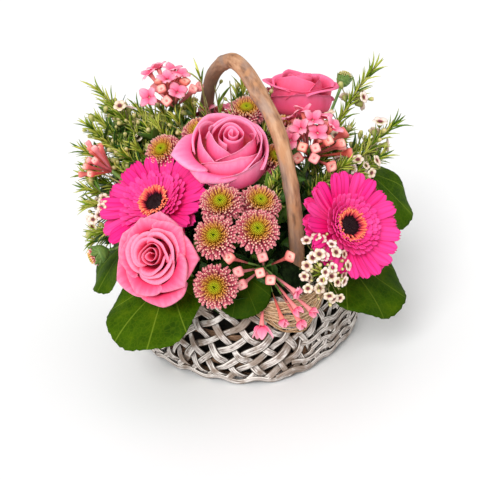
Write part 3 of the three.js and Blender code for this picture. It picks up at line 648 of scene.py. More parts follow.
def rose_material(name, foot, deep, body, edge, turn):
    """Petals from foot, to painted shade in the deep colour at turn, to body and a pale painted highlight at
    the edge. tag is 0 in the heart.
    """
    paint = Paint(name, 0.6, 0.12, 0.1, (0.006, 0.002, 0.002))
    # The deep colour at turn is painted shade in the crease at the shoulder, and the edge colour a painted
    # highlight.
    tone = paint.ramp(paint.along, (turn - 0.2, foot), (turn, deep), (turn + 0.24, body), (0.97, edge))
    # Painted shade in the deep colour over the heart and the first ring, where tag is low.
    inner = paint.over(tone, deep, paint.tag, (0.0, 0.7), (0.5, 0.0))
    # The veins take the deep colour too, as real marks.
    veins = paint.streaks(9, 2.5, 4)
    veined = paint.over(inner, deep, veins, (0.4, 0.3), (0.62, 0.0))
    # Painted highlight: the pale edge colour along the rolled rim of each petal.
    rim = paint.math("MAXIMUM", paint.along, paint.aside())
    return paint.painted(paint.over(veined, edge, rim, (0.86, 0.0), (0.98, 0.7)), veins, 0.2, 0.4)


def gerbera_material():
    """tag is how pale a ray is."""
    paint = Paint("gerbera_ray", 0.55, 0.12)
    body = paint.ramp(
        paint.along, (0.0, (0.55, 0.002, 0.09)), (0.35, (0.86, 0.006, 0.20)), (1.0, (0.95, 0.03, 0.29)))
    # Painted shade along the two grooves and both sides of each ray.
    folds = paint.folded(paint.math("ADD", paint.times(paint.across, 1.5), 1.5))
    groove_shaded = paint.over(body, (0.48, 0.001, 0.10), folds, (0.0, 0.7), (0.2, 0.0))
    paler = paint.mix(paint.times(paint.tag, 0.55), groove_shaded, (0.98, 0.13, 0.43))
    return paint.painted(paler, paint.streaks(8, 3), 0.3, 0.4)


def floret_material():
    paint = Paint("gerbera_floret", 0.6)
    return paint.painted(paint.ramp(
        paint.along, (0.0, (0.45, 0.02, 0.06)), (0.45, (0.82, 0.08, 0.08)), (0.8, (0.94, 0.26, 0.10)),
        (1.0, (0.97, 0.48, 0.25))))


def eye_material():
    paint = Paint("gerbera_eye", 0.7)
    return paint.painted(paint.ramp(
        paint.along, (0.0, (0.012, 0.002, 0.004)), (0.8, (0.05, 0.006, 0.012)), (1.0, (0.16, 0.03, 0.03))))


def quill_material():
    """tag runs from 0 on the innermost quills to 1 on the outermost."""
    paint = Paint("santini_quill", 0.6, 0.15)
    inner = paint.ramp(
        paint.along, (0.0, (0.22, 0.08, 0.005)), (0.5, (0.60, 0.27, 0.02)), (1.0, (0.92, 0.54, 0.13)))
    outer = paint.ramp(
        paint.along, (0.0, (0.12, 0.01, 0.02)), (0.5, (0.52, 0.08, 0.13)), (0.74, (0.80, 0.27, 0.29)),
        (0.92, (0.98, 0.66, 0.54)))
    return paint.painted(paint.over(inner, outer, paint.tag, (0.08, 0.0), (0.45, 1.0)))


def button_material():
    """tag runs from 0 in the middle of the button to 1 at its rim."""
    paint = Paint("santini_button", 0.6, 0.2)
    tone = paint.ramp(
        paint.tag, (0.0, (0.01, 0.04, 0.001)), (0.13, (0.02, 0.07, 0.002)), (0.2, (0.52, 0.62, 0.01)),
        (0.6, (0.66, 0.62, 0.02)), (1.0, (0.62, 0.34, 0.02)))
    # Painted shade on the lower half of each floret, where the florets crowd together.
    darker = paint.over(tone, (0.10, 0.12, 0.003), paint.along, (0.0, 0.0), (0.5, 0.5), (0.8, 0.9))
    return paint.painted(darker)


def bouvardia_material():
    """along runs from the green foot of the tube over the tube to the rim, and down into the throat."""
    paint = Paint("bouvardia_tube", 0.5, 0.2, 0.08, (0.004, 0.0015, 0.0015))
    tone = paint.ramp(
        paint.along, (0.0, (0.20, 0.24, 0.03)), (0.1, (0.38, 0.06, 0.03)), (0.42, (0.72, 0.10, 0.07)),
        (0.66, (0.88, 0.24, 0.18)), (0.8, (0.99, 0.64, 0.50)), (0.9, (0.90, 0.20, 0.19)),
        (1.0, (0.32, 0.02, 0.02)))
    return paint.painted(paint.mix(paint.times(paint.tag, 0.5), tone, (0.94, 0.42, 0.50)))


def lobe_material():
    paint = Paint("bouvardia_lobe", 0.55, 0.15, 0.08, (0.004, 0.0015, 0.0015))
    body = paint.ramp(
        paint.along, (0.0, (0.75, 0.05, 0.13)), (0.35, (0.93, 0.18, 0.32)), (1.0, (0.98, 0.42, 0.52)))
    return paint.painted(paint.over(body, (0.86, 0.16, 0.32), paint.aside(), (0.0, 0.5), (0.25, 0.0)))


def cup_material():
    """tag is 0 on a pink cup and 1 on a cream one. along runs from the dark middle to the pale rim."""
    paint = Paint("waxflower_cup", 0.4)
    pink = paint.ramp(
        paint.along, (0.0, (0.16, 0.02, 0.03)), (0.3, (0.34, 0.06, 0.06)), (0.48, (0.88, 0.66, 0.60)),
        (1.0, (0.93, 0.83, 0.77)))
    return paint.painted(paint.mix(paint.tag, pink, (0.86, 0.80, 0.60), "MULTIPLY"))


def calyx_material():
    paint = Paint("waxflower_calyx", 0.5)
    return paint.painted(paint.ramp(
        paint.along, (0.0, (0.16, 0.22, 0.03)), (0.6, (0.44, 0.44, 0.12)), (1.0, (0.72, 0.56, 0.30))))


def needle_material():
    paint = Paint("needle", 0.5, 0.25)
    tone = paint.ramp(
        paint.tag, (0.0, (0.05, 0.13, 0.004)), (0.3, (0.20, 0.31, 0.01)), (1.0, (0.66, 0.67, 0.12)))
    return paint.painted(paint.over(tone, (0.55, 0.52, 0.22), paint.along, (0.75, 0.0), (1.0, 0.7)))


def twig_material():
    paint = Paint("twig", 0.6)
    return paint.painted(paint.ramp(
        paint.streaks(1, 20), (0.35, (0.17, 0.15, 0.04)), (0.65, (0.36, 0.33, 0.12))))


def stem_material():
    paint = Paint("stem", 0.5)
    return paint.painted(paint.ramp(
        paint.streaks(2, 14), (0.3, (0.07, 0.16, 0.025)), (0.7, (0.21, 0.34, 0.07))))


def galax_material():
    """along is the distance from the stalk, across the angle round it, and tag how lit the leaf is, lower
    tags giving more painted shade.
    """
    paint = Paint("galax_leaf", 0.6, 0.03)
    body = paint.ramp(
        paint.noise(60, 4), (0.3, (0.022, 0.06, 0.0008)), (0.55, (0.052, 0.115, 0.001)),
        (0.75, (0.11, 0.18, 0.002)))
    fan = paint.folded(paint.times(paint.math("ADD", paint.across, 1.0), 5.5))
    vein = paint.math("LESS_THAN", fan, paint.math("MULTIPLY_ADD", paint.along, -0.03, 0.045))
    veined = paint.mix(paint.times(vein, 0.5), body, (0.26, 0.36, 0.03))
    net = paint.node("TexVoronoi", paint.node("TexCoord").outputs["Object"], feature="DISTANCE_TO_EDGE")
    paint.set(net, {"Scale": 260})
    mesh = paint.ramp(net.outputs["Distance"], (0.0, 0.0), (0.12, 1.0))
    netted = paint.mix(paint.times(paint.math("SUBTRACT", 1.0, mesh), 0.16), veined, (0.19, 0.29, 0.01))
    shaded = paint.over(netted, (0.01, 0.03, 0.001), paint.tag, (0.0, 0.75), (1.0, 0.0))
    return paint.painted(shaded, paint.math("ADD", mesh, paint.times(vein, -1.5)), 0.3, 0.3)


def filler_leaf_material():
    paint = Paint("filler_leaf", 0.45, 0.2)
    tone = paint.ramp(
        paint.tag, (0.0, (0.008, 0.03, 0.005)), (0.6, (0.03, 0.095, 0.012)), (1.0, (0.14, 0.26, 0.03)))
    return paint.painted(paint.over(tone, (0.14, 0.24, 0.05), paint.aside(), (0.0, 0.6), (0.12, 0.0)))


def moss_material():
    paint = Paint("moss", 0.95, 0.1)
    clumps = paint.noise(180, 5)
    # The mound's near-black colour is painted shade in the gaps between the blooms.
    tone = paint.ramp(clumps, (0.35, (0.004, 0.008, 0.003)), (0.7, (0.02, 0.04, 0.01)))
    return paint.painted(tone, clumps, 1.0, 3)


def foam_material():
    paint = Paint("wet_foam", 0.9)
    grain = paint.noise(900)
    tone = paint.ramp(grain, (0.3, (0.01, 0.05, 0.01)), (0.7, (0.03, 0.11, 0.025)))
    return paint.painted(tone, grain, 0.5, 0.6)


def film_material():
    paint = Paint("dark_film", 0.6, 0.08)
    creases = paint.noise(70, 4)
    # The liner's near-black colour is painted shade seen through the gaps in the weave.
    tone = paint.ramp(creases, (0.3, (0.003, 0.003, 0.002)), (0.8, (0.015, 0.012, 0.01)))
    return paint.painted(tone, creases, 0.8, 4)


def floor_material():
    paint = Paint("pale_floor", 0.55)
    return paint.painted(paint.ramp(paint.noise(3, 2), (0.0, 0.90), (1.0, 0.93)))


MATERIALS = {
    "strip": washed_strip_material(),
    "brown": brown_strip_material(),
    "bark": bark_material(),
    "fibre": fibre_material(),
    # For each rose, deep is the colour of its painted shade and its real veins, and edge of its painted
    # highlight.
    "rose_1": rose_material(
        "rose_petal", foot=(0.85, 0.14, 0.16), deep=(0.74, 0.018, 0.09), body=(0.96, 0.11, 0.24),
        edge=(1.0, 0.29, 0.45), turn=0.42),
    "rose_2": rose_material(
        "rose_petal_peach", foot=(0.98, 0.46, 0.28), deep=(0.90, 0.10, 0.27), body=(0.98, 0.20, 0.39),
        edge=(1.0, 0.35, 0.55), turn=0.46),
    "rose_3": rose_material(
        "rose_petal_coral", foot=(0.88, 0.30, 0.22), deep=(0.85, 0.09, 0.17), body=(0.93, 0.10, 0.25),
        edge=(0.97, 0.19, 0.37), turn=0.3),
    "gerbera": gerbera_material(),
    "floret": floret_material(),
    "eye": eye_material(),
    "quill": quill_material(),
    "button": button_material(),
    "tube": bouvardia_material(),
    "lobe": lobe_material(),
    "cup": cup_material(),
    "calyx": calyx_material(),
    "needle": needle_material(),
    "twig": twig_material(),
    "stem": stem_material(),
    "galax": galax_material(),
    "filler": filler_leaf_material(),
    "moss": moss_material(),
    "foam": foam_material(),
    "film": film_material(),
    "floor": floor_material(),
}


# Basket

def cornered(radius, angle):
    """The basket is nearly round in plan, with four soft corners."""
    return radius * (1 + CORNER_BULGE * np.cos(4 * (angle - CORNER_TURN)))


def wall_radius(height):
    rise = np.clip(height / RIM_HEIGHT, 0, 1)
    return BASE_RADIUS + (RIM_RADIUS - BASE_RADIUS) * rise ** WALL_BULGE


def wall_point(angle, height, out):
    return polar(cornered(wall_radius(height), angle) + out, angle, height)


def rim_point(angle, height, out):
    return polar(cornered(RIM_RADIUS, angle) + out, angle, height)


def strip_along(path, outward, width, tag, thickness=STRIP_THICKNESS, crown=0.7):
    """A split strip along a path, flat across outward, with its middle a little raised."""
    across = np.cross(outward, np.gradient(path, axis=0))
    across /= np.linalg.norm(across, axis=1, keepdims=True)
    lift = outward / np.linalg.norm(outward, axis=1, keepdims=True)
    widths = np.broadcast_to(width, (len(path),))

    def surface(u, v):
        row = np.round(u * (len(path) - 1)).astype(int)
        aside = across[row] * (v * widths[row] / 2)[..., None]
        return path[row] + aside + lift[row] * (crown * (1 - v ** 2))[..., None]

    return sheet(surface, (), len(path), 5, thickness, tag)


def warped(angle, height):
    """Shifts the whole lattice of strips a little, so that its openings aren't all alike."""
    climb = height / RIM_HEIGHT
    amount = np.sin(math.pi * np.clip(climb, 0, 1))
    swing = math.radians(3.4) * np.sin(5 * angle + 1 + 3 * climb) * amount
    return angle + swing, height + 4 * np.sin(7 * angle - 4 * climb) * amount


def slanted_strip(start, way, tag, rng):
    """One strip from the foot of the wall up to the rim, slanting one way, over and under the others."""
    climb = np.linspace(0, 1, 40)
    height = STRIP_FOOT + (RIM_HEIGHT - STRIP_FOOT) * climb
    lean = math.tan(STRIP_SLANTS[way]) / RIM_RADIUS
    both = sum(math.tan(slant) for slant in STRIP_SLANTS.values()) / RIM_RADIUS
    weave = way * np.sin(math.pi * height * both * STRIPS_EACH_WAY / FULL_TURN)
    angle, height = warped(start + way * height * lean, height)
    tuck = -3 * np.clip(1 - climb * 9, 0, 1) ** 2
    tilt = 0.35 * np.sin(FULL_TURN * (2.2 * climb + rng.random()))
    width = STRIP_WIDTH * (0.86 + 0.2 * rng.random()) * (1 + 0.14 * np.sin(9 * climb + 6 * rng.random()))
    path = wall_point(angle, height, 1.5 + STRIP_SWING * weave + tuck)
    return strip_along(path, polar(1, angle + tilt, 0.12), width, tag)


def weaver(height, out, start, reach, width, tag, waves=5, swing=1.6):
    """A strip laid round the wall in waves."""
    angle = np.linspace(start, start + reach, 60 + int(3 * waves * reach))
    path = wall_point(angle, height + swing * np.sin(waves * angle), out)
    return strip_along(path, polar(1, angle, 0), width, tag)


def make_wall():
    rng = np.random.default_rng(7)
    wall = Piece("basket_weave")
    for k in range(STRIPS_EACH_WAY):
        start = FULL_TURN * (k + 0.1 * rng.uniform(-1, 1)) / STRIPS_EACH_WAY
        wall.add(slanted_strip(start, 1, rng.random(), rng), "strip")
        wall.add(slanted_strip(start + 0.5 * FULL_TURN / STRIPS_EACH_WAY, -1, rng.random(), rng), "strip")
    for height in WEAVER_HEIGHTS:
        for quarter in range(4):
            start = FULL_TURN * quarter / 4 + rng.random()
            wall.add(weaver(height, -WEAVER_DEPTH, start, 1.75, WEAVER_WIDTH, rng.random()), "brown")
    for height, out, start, reach in BORDER_STRIPS:
        start, reach = math.radians(start), math.radians(reach)
        wall.add(weaver(height, out, start, reach, BORDER_WIDTH, rng.random(), 19, 2.0), "strip")
    wall.make("strip", "basket_wall")


def make_rim():
    """Strips folded over the top of the wall and wound round it on the slant."""
    rng = np.random.default_rng(11)
    rim = Piece("basket_rim_folds")
    share = np.linspace(0, 1, 20)
    for k in range(RIM_FOLDS):
        angle = FULL_TURN * (k + rng.uniform(-0.2, 0.2)) / RIM_FOLDS + math.radians(15) * share
        around = math.pi * 1.35 - 1.9 * math.pi * share + rng.uniform(-0.25, 0.25)
        thick = RIM_THICKNESS / 2 - 0.4 + 0.5 * (k % 2)
        path = rim_point(angle, RIM_HEIGHT - 0.6 + thick * np.sin(around), thick * np.cos(around))
        outward = polar(np.cos(around), angle, np.sin(around))
        rim.add(strip_along(path, outward, rng.uniform(7.5, 10), rng.random(), 0.9, 0.3), "strip")
    rim.make("strip", "basket_rim")


def make_base():
    """A mat of crossing brown strips inside the foot of the wall."""
    rng = np.random.default_rng(5)
    base = Piece("basket_mat")
    turn = aimed((0, 0, 0), (0, 0, 1), CORNER_TURN + math.pi / 4)
    for way in (-1, 1):
        for k in range(-8, 9):
            middle = k * MAT_SPACING + rng.uniform(-0.6, 0.6)
            half = math.sqrt(max(MAT_RADIUS ** 2 - middle ** 2, 0))
            if half < 14:
                continue
            along = np.linspace(-half, half, 22)
            height = 1.6 + 0.75 * way * np.cos(math.pi * along / MAT_SPACING + math.pi * k)
            path = points(along, middle, height) if way == 1 else points(middle, along, height)
            up = points(0, 0, np.ones(22))
            base.add(strip_along(moved(path, turn), up, MAT_STRIP_WIDTH, rng.random(), 1.0, 0.2), "brown")
    base.make("dark_strip", "basket_base")


def over_handle(along):
    """Where a distance from the middle of the handle's plane is, seen from above."""
    return HANDLE_CENTRE[0] + along * math.cos(HANDLE_TURN), HANDLE_CENTRE[1] + along * math.sin(HANDLE_TURN)


def handle_points(steps):
    along, height = smooth_path(HANDLE_BENDS, steps).T
    return points(*over_handle(along), height)


def make_handle():
    share = np.linspace(0, 1, 190)
    radius = HANDLE_DIAMETER / 2 - 0.3 + 0.3 * np.sin(17 * share) + 0.15 * np.sin(61 * share + 1)
    for knot in HANDLE_KNOTS:
        radius += 0.75 * np.exp(-((share - knot) / 0.008) ** 2)
    handle = Piece("handle_branch")
    handle.add(tube(handle_points(len(share)), radius, 20), "bark")
    handle.make("branch", "handle")


def make_lashing(name, middle, half_span, loops, rng):
    """Loose plant fibre hung along the rim in loops, each sagging lower than the one over it."""
    lashing = Piece(name + "_fibre")
    share = np.linspace(-1, 1, 26)
    for strand in range(STRANDS_IN_A_LOOP * loops):
        loop = strand / STRANDS_IN_A_LOOP
        shift = math.radians(rng.uniform(-1.5, 1.5))
        angle = middle + shift + half_span * rng.uniform(0.9, 1.15) * share
        sag = (2 + 5.6 * loop) * (1 - share ** 2) * rng.uniform(0.85, 1.1) + rng.uniform(-1.5, 1.5)
        height = RIM_HEIGHT + 6 - 2.4 * loop - sag + 0.9 * np.sin(9 * share + rng.random() * 6)
        out = RIM_THICKNESS / 2 + 0.8 + 5.2 * rng.random() * (1 - 0.6 * share ** 2) - 0.4 * loop
        lashing.add(tube(rim_point(angle, height, out), 0.3 + 0.4 * rng.random(), 5, rng.random()), "fibre")
    lashing.make("fibre", name)


def make_liner():
    """Thin dark film behind the strips, drawn in round the two feet of the handle; its near-black is painted
    shade in the gaps of the weave.
    """
    sides, rows = 96, 14
    angle = full_ring(sides)
    heights = np.linspace(LINER_FOOT, LINER_TOP, rows)[:, None]
    dent = np.zeros(sides)
    for reach in (HANDLE_REACH, -HANDLE_REACH):
        x, y = over_handle(reach)
        off = np.angle(np.exp(1j * (angle - math.atan2(y, x))))
        dent += LINER_DENT * np.exp(-(off / math.radians(11)) ** 2)
    crumple = 0.8 * np.sin(23 * angle) * np.sin(0.2 * heights)
    outer = cornered(wall_radius(heights) - LINER_GAP, angle) - dent + crumple
    skins = np.concatenate([polar(outer, angle, heights), polar(outer - 0.8, angle, heights)[::-1]])
    skins = skins.reshape(-1, 3)
    faces = grid_faces(2 * rows, sides, closed=True)
    first = np.arange(sides)
    last = first + (2 * rows - 1) * sides
    seam = np.stack([last, np.roll(last, -1), np.roll(first, -1), first], 1)
    film = Piece("dark_liner_film")
    film.add((skins, np.vstack([faces, seam]), np.zeros_like(skins)), "film")
    film.make("liner", "liner")


# Roses

# Rings of petals round the heart, three in each: how far out they stand and end, the heights of shoulder and
# edge, half their width as an angle, and how pointed they are
ROSE_RINGS = {
    "open": [
        (9.8, 12.0, -9.0, -0.5, 1.30, 0.15),
        (12.6, 16.5, -12.0, -2.0, 1.25, 0.20),
        (15.5, 22.0, -13.0, -5.0, 1.20, 0.30),
    ],
    "half open": [
        (20.0, 14.5, -18.0, -1.0, 1.45, 0.45),
    ],
}
PETAL_SHOULDER = 0.42


def rose_petal(u, v, azimuth, spread, body, edge, shoulder, height, pointed, phase):
    """One petal: from its base up to its shoulder and on to its edge, creased, its margin curled back."""
    flat = min(max((shoulder - height + 12) / 16, 0), 1)
    off = np.abs(v)
    climb = np.minimum(u / PETAL_SHOULDER, 1)
    rounded = np.sqrt(1 - 0.75 * np.clip((off - 0.6) / 0.4, 0, 1) ** 2)
    over = np.maximum(u - PETAL_SHOULDER, 0) / (1 - PETAL_SHOULDER)
    over = over * (1 - pointed * off ** (1.2 - 0.5 * flat)) * rounded
    radius = 3 + (body - 3) * np.sin(math.pi / 2 * climb) ** 0.8 + (edge - body) * over ** (2 - flat)
    z = 3 - ROSE_HEIGHT + (shoulder + ROSE_HEIGHT - 3) * climb ** 1.3
    z = z + (height - shoulder) * over ** (1 + flat) + 2.2 * flat * np.sin(math.pi * over) * over ** 0.3
    radius_step, z_step = np.gradient(radius, axis=0), np.gradient(z, axis=0)
    along = np.hypot(radius_step, z_step) + 1e-9
    side_curl = np.clip((off - 0.84) / 0.16, 0, 1) ** 2 * u ** 2
    margin = np.clip((u - 0.88) / 0.12, 0, 1) ** 2 + flat * side_curl
    ridge = (0.04 + 0.09 * flat) * body * off ** 1.4 * u ** 2
    back = 2.0 * np.minimum(margin, 1.3) + ridge - 1.9 * v * u
    back = back + 0.8 * u ** 2 * np.sin(3.0 * v + phase) - 0.25 * u ** 4 * np.sin(9 * v + 2 * phase)
    angle = azimuth + v * spread * np.sin(math.pi * (0.12 + 0.5 * u)) ** 0.8
    return polar(radius + back * z_step / along, angle, z - back * radius_step / along)


def rose_heart(u, v, turns, start_radius, end_radius, top):
    """The rolled petals in the middle, as one spiral sheet."""
    share = (v + 1) / 2
    angle = FULL_TURN * turns * share
    radius = start_radius + (end_radius - start_radius) * share + 1.3 * u ** 6 + 4 * share * (1 - u)
    radius = radius * (1 + 0.07 * np.sin(2 * angle + 1) + 0.05 * np.sin(3 * angle))
    z = -ROSE_HEIGHT + 14 + (top + ROSE_HEIGHT - 14) * u - 1.6 * share * u + 0.7 * np.sin(3 * angle) * u ** 4
    return polar(radius, angle, z)


def make_rose(number, rose, rng):
    place = bloom_frame(rose) @ shifted(rose["shift"], 0)
    middle = place @ shifted(*rose["heart"])
    material = f"rose_{number}"
    bloom = Piece(f"rose_{number}_bloom")
    # The heart's tag of 0 and the first ring's tag of 0.25 give them painted shade in the deep colour.
    bloom.add(placed(sheet(rose_heart, (2.5, 1.0, rose["tube"], -0.5), 9, 120, 0.5), middle, 0.0), material)
    for ring, (body, edge, shoulder, height, spread, pointed) in enumerate(ROSE_RINGS[rose["rings"]]):
        for k in range(3):
            azimuth = 2.1 * ring + FULL_TURN * (k + rng.uniform(-0.1, 0.1)) / 3
            sizes = (
                azimuth, spread * rng.uniform(0.95, 1.05), body + 0.4 * k, edge + 0.6 * k,
                shoulder + rng.uniform(-0.5, 0.5), height + rng.uniform(-1, 1), pointed, rng.uniform(0, 6),
            )
            bloom.add(placed(sheet(rose_petal, sizes, 22, 21, 0.5), middle, 0.25 + 0.25 * ring), material)
    for k, (azimuth, body, edge, shoulder, height, pointed) in enumerate(rose["petals"]):
        spread = 0.9 if shoulder > height - 5 else 1.3
        sizes = (
            math.radians(azimuth), spread, body + 0.3 * k, edge, shoulder, height, pointed,
            rng.uniform(0, 6),
        )
        off = np.array(rose["heart"]) * (1 - k / len(rose["petals"]))
        bloom.add(placed(sheet(rose_petal, sizes, 26, 25, 0.6), place @ shifted(*off), 1.0), material)
    bloom.make("rose", f"rose_{number}_petals")
    make_rose_stem(number, rose)


# Gerberas

# Layers of rays: how many, where each starts, how much shorter than the bloom's radius it ends, its width,
# the heights of its foot and tip, and whether it is a broad outer ray
GERBERA_LAYERS = [
    (20, 12, 1.0, 13.4, -6.0, 3.0, True),
    (20, 12, 0.0, 13.0, -4.0, 8.0, True),
    (30, 11, 19.0, 5.2, -2.5, 8.0, False),
    (36, 10.5, 23.5, 4.0, -1.0, 9.5, False),
    (38, 10.5, 27.5, 3.4, -0.5, 9.0, False),
    (36, 10, 31.5, 2.8, 0.0, 7.5, False),
]


def gerbera_ray(u, v, azimuth, inner, outer, width, low, high, droop, bend, phase):
    """One strap-shaped ray with two grooves and a blunt, slightly notched tip."""
    narrow = 0.36 + 0.64 * np.sin(math.pi / 2 * np.minimum(u * 1.45, 1))
    blunt = np.sqrt(np.maximum(1 - np.maximum(0, (u - 0.78) / 0.22) ** 2 * 0.8, 0))
    side = v * width / 2 * narrow * blunt + bend * u ** 2
    radius = inner + (outer - inner) * u - 1.5 * u ** 10 * np.abs(np.sin(1.5 * math.pi * v))
    z = low + (high - low) * u ** 1.15 - droop * u ** 4
    z = z + 0.075 * width * np.cos(2 * math.pi * v) * u ** 0.5 + 0.07 * width * v ** 2
    z = z + 0.05 * width * np.sin(6 * u + phase)
    c, s = math.cos(azimuth), math.sin(azimuth)
    return points(radius * c - side * s, radius * s + side * c, z)


def floret(length, width, lift):
    """A tiny tube that stands up and leans out, along X."""
    path = [(0, 0, 0), (0.35 * length, 0, 0.5 * lift), (0.75 * length, 0, 0.95 * lift), (length, 0, lift)]
    return tube(path, [0.5 * width, 0.45 * width, 0.5 * width, 0.15 * width], 5)


def make_gerbera(number, gerbera, rng):
    place = bloom_frame(gerbera)
    bloom = Piece(f"gerbera_{number}_bloom")
    upwards = math.atan2(place[2, 1], place[2, 0])
    for layer, (count, inner, short, width, low, high, broad) in enumerate(GERBERA_LAYERS):
        for k in range(count):
            azimuth = FULL_TURN * (k + 0.5 * (layer % 2)) / count + rng.uniform(-0.05, 0.05)
            off = math.remainder(azimuth - upwards, FULL_TURN)
            push = gerbera["pressed"] * math.exp(-(off / 0.75) ** 2) * (1 if broad else 0.3)
            sizes = (
                azimuth,
                inner,
                (gerbera["radius"] - short) * rng.uniform(0.94, 1.0),
                width * rng.uniform(0.88, 1.05),
                low,
                high - push + rng.uniform(-1.5, 1.5),
                rng.uniform(-1, 3) if broad else rng.uniform(0, 1.5),
                rng.uniform(-3, 3) if broad else rng.uniform(-1, 1),
                rng.uniform(0, 6),
            )
            tag = rng.uniform(0.0, 0.6) if broad else rng.uniform(0.3, 1.0)
            rows, columns = (14, 11) if broad else (7, 4)
            bloom.add(placed(sheet(gerbera_ray, sizes, rows, columns, 0.6, tag), place), "gerbera")
    tiny = floret(4.6, 1.5, 2.8)
    for k in range(GERBERA_FLORETS):
        at = ring_frame(k * GOLDEN_ANGLE, 7.8 + 3.6 * rng.random(), 1.6 + rng.random(), 0.4 * rng.random())
        bloom.add(placed(tiny, place @ at), "floret")
    bloom.make("gerbera", f"gerbera_{number}_rays")
    make_gerbera_eye(number, place, rng)
    make_gerbera_stem(number, gerbera)


def make_gerbera_eye(number, place, rng):
    eye = Piece(f"gerbera_{number}_disc")
    r = GERBERA_EYE_RADIUS
    dome = turned([(0.01, 1.6), (r * 0.5, 2.2), (r * 0.85, 1.2), (r, -0.6), (r, -6), (0.01, -6)], 28)
    eye.add(placed(dome, place), "eye")
    spike = turned([(0.01, 1.5), (0.32, 1.0), (0.5, 0), (0.3, -0.6), (0.01, -0.6)], 5)
    for share, azimuth in golden_spread(GERBERA_SPIKES):
        at = ring_frame(azimuth, (r - 0.5) * share, 2.0 - 1.3 * share ** 3)
        eye.add(placed(spike, place @ at @ stretched(1, 1, rng.uniform(0.8, 1.9))), "eye")
    eye.make("gerbera_eye", f"gerbera_{number}_eye")


# Stems in the foam

def foam_surface(x, y):
    return FOAM_TOP - (FOAM_TOP - FOAM_SHOULDER) * (math.hypot(x, y) / FOAM_RADIUS) ** 2


def root_end(root):
    """Where a stem goes into the foam, and the way that it goes on inside."""
    x, y = root
    return np.array([x, y, foam_surface(x, y)]), unit(np.array([-x, -y, -70.0]))


def stem_path(start, backwards, root):
    entry, inward = root_end(root)
    reach = np.linalg.norm(start - entry)
    return bezier([start, start + backwards * reach * 0.4, entry - inward * reach * 0.35, entry], 24)


def stem_behind(bloom, depth):
    """The path of a stem that starts at a depth behind the face of a bloom."""
    back = -facing(bloom)
    return stem_path(bloom["at"] + back * depth, back, bloom["root"])


def sepal(u, v, length):
    z = -ROSE_HEIGHT - 4 - 9 * u ** 1.6 - 0.4 * v * v
    return points(3 + length * u, v * 3.2 * np.sin(math.pi * (0.12 + 0.84 * u)), z)


def make_rose_stem(number, rose):
    place = bloom_frame(rose)
    piece = Piece(f"rose_{number}_stalk")
    neck = -ROSE_HEIGHT - 0.4
    cup = turned([(0.01, neck), (4.6, neck), (5.6, neck - 4), (3.2, neck - 9.5), (0.01, neck - 10)], 14)
    piece.add(placed(cup, place), "stem")
    for k in range(5):
        piece.add(placed(sheet(sepal, (17,), 9, 5, 0.7), place @ ring_frame(FULL_TURN * k / 5)), "stem")
    piece.add(tube(stem_behind(rose, ROSE_HEIGHT + 6), STEMS["rose"], 10), "stem")
    piece.make("stem", f"rose_{number}_stem")


def make_gerbera_stem(number, gerbera):
    piece = Piece(f"gerbera_{number}_stalk")
    cup = turned([(0.01, -6.4), (11, -6.4), (12, -7), (9, -12.5), (3.2, -17), (0.01, -18)], 20)
    piece.add(placed(cup, bloom_frame(gerbera)), "stem")
    piece.add(tube(stem_behind(gerbera, 14), STEMS["gerbera"], 10), "stem")
    piece.make("stem", f"gerbera_{number}_stem")


# Santini

# Rings of quills from the middle out: how many, reach as a share of the head's radius, rise, hook and width
QUILL_RINGS = [
    (20, 0.42, 1.4, 0.7, 1.4), (24, 0.51, 1.8, 1.1, 1.5), (27, 0.61, 1.5, 1.6, 1.6),
    (29, 0.71, 0.4, 2.1, 1.8), (30, 0.81, -1.6, 2.5, 1.9), (30, 0.91, -4.2, 2.6, 2.0),
    (29, 0.98, -7.2, 2.2, 2.1), (25, 1.0, -10.4, 1.4, 2.1), (20, 0.9, -13.2, 0.6, 2.1),
]

# The three rings of an opening bud: how many quills, their reach and their rise
BUD_RINGS = [(16, 5.2, 1.2), (18, 7.4, -0.4), (20, 8.6, -3.4)]


def quill(reach, rise, hook, width):
    """One quilled petal along X from the middle of the head: out, then up and in at its pointed tip."""
    t = np.linspace(0, 1, 6) ** 0.75
    bent = np.maximum(0, t - 0.62) / 0.38
    x = reach * np.sin(t * math.pi / 2) ** 0.85 - 0.35 * hook * bent ** 3
    z = -6.5 * (1 - t) ** 1.6 + rise * t ** 2 + hook * bent ** 1.6
    widths = width * np.array([0.35, 0.46, 0.5, 0.56, 0.45, 0.12])
    return tube(points(x, 0, z), widths, 5, flat=0.6, side=(0, 1, 0))


def add_button(piece, radius, count, place):
    """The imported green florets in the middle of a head, lower and darker at its very middle."""
    bud = turned([(0.01, 1.1), (0.5, 0.7), (0.6, -0.3), (0.01, -0.9)], 5)
    for share, azimuth in golden_spread(count, 0.4):
        height = 0.4 + 2.0 * math.sin(math.pi * min(share * 0.8 + 0.1, 1)) - 0.8
        piece.add(placed(bud, place @ ring_frame(azimuth, radius * share, height), share), "button")


def make_santini_head(number, head, rng):
    place = bloom_frame(head)
    bloom = Piece(f"santini_{number}_bloom")
    for ring, (count, reach, rise, hook, width) in enumerate(QUILL_RINGS):
        age = ring / (len(QUILL_RINGS) - 1)
        for k in range(count):
            azimuth = FULL_TURN * (k + 0.5 * (ring % 2)) / count + rng.uniform(-0.09, 0.09)
            length = SANTINI_RADIUS * reach * rng.uniform(0.94, 1.03)
            shape = quill(length, rise + rng.uniform(-0.9, 0.9), hook, width * rng.uniform(0.85, 1.05))
            bloom.add(placed(shape, place @ ring_frame(azimuth), age), "quill")
    bloom.make("santini", f"santini_{number}_petals")


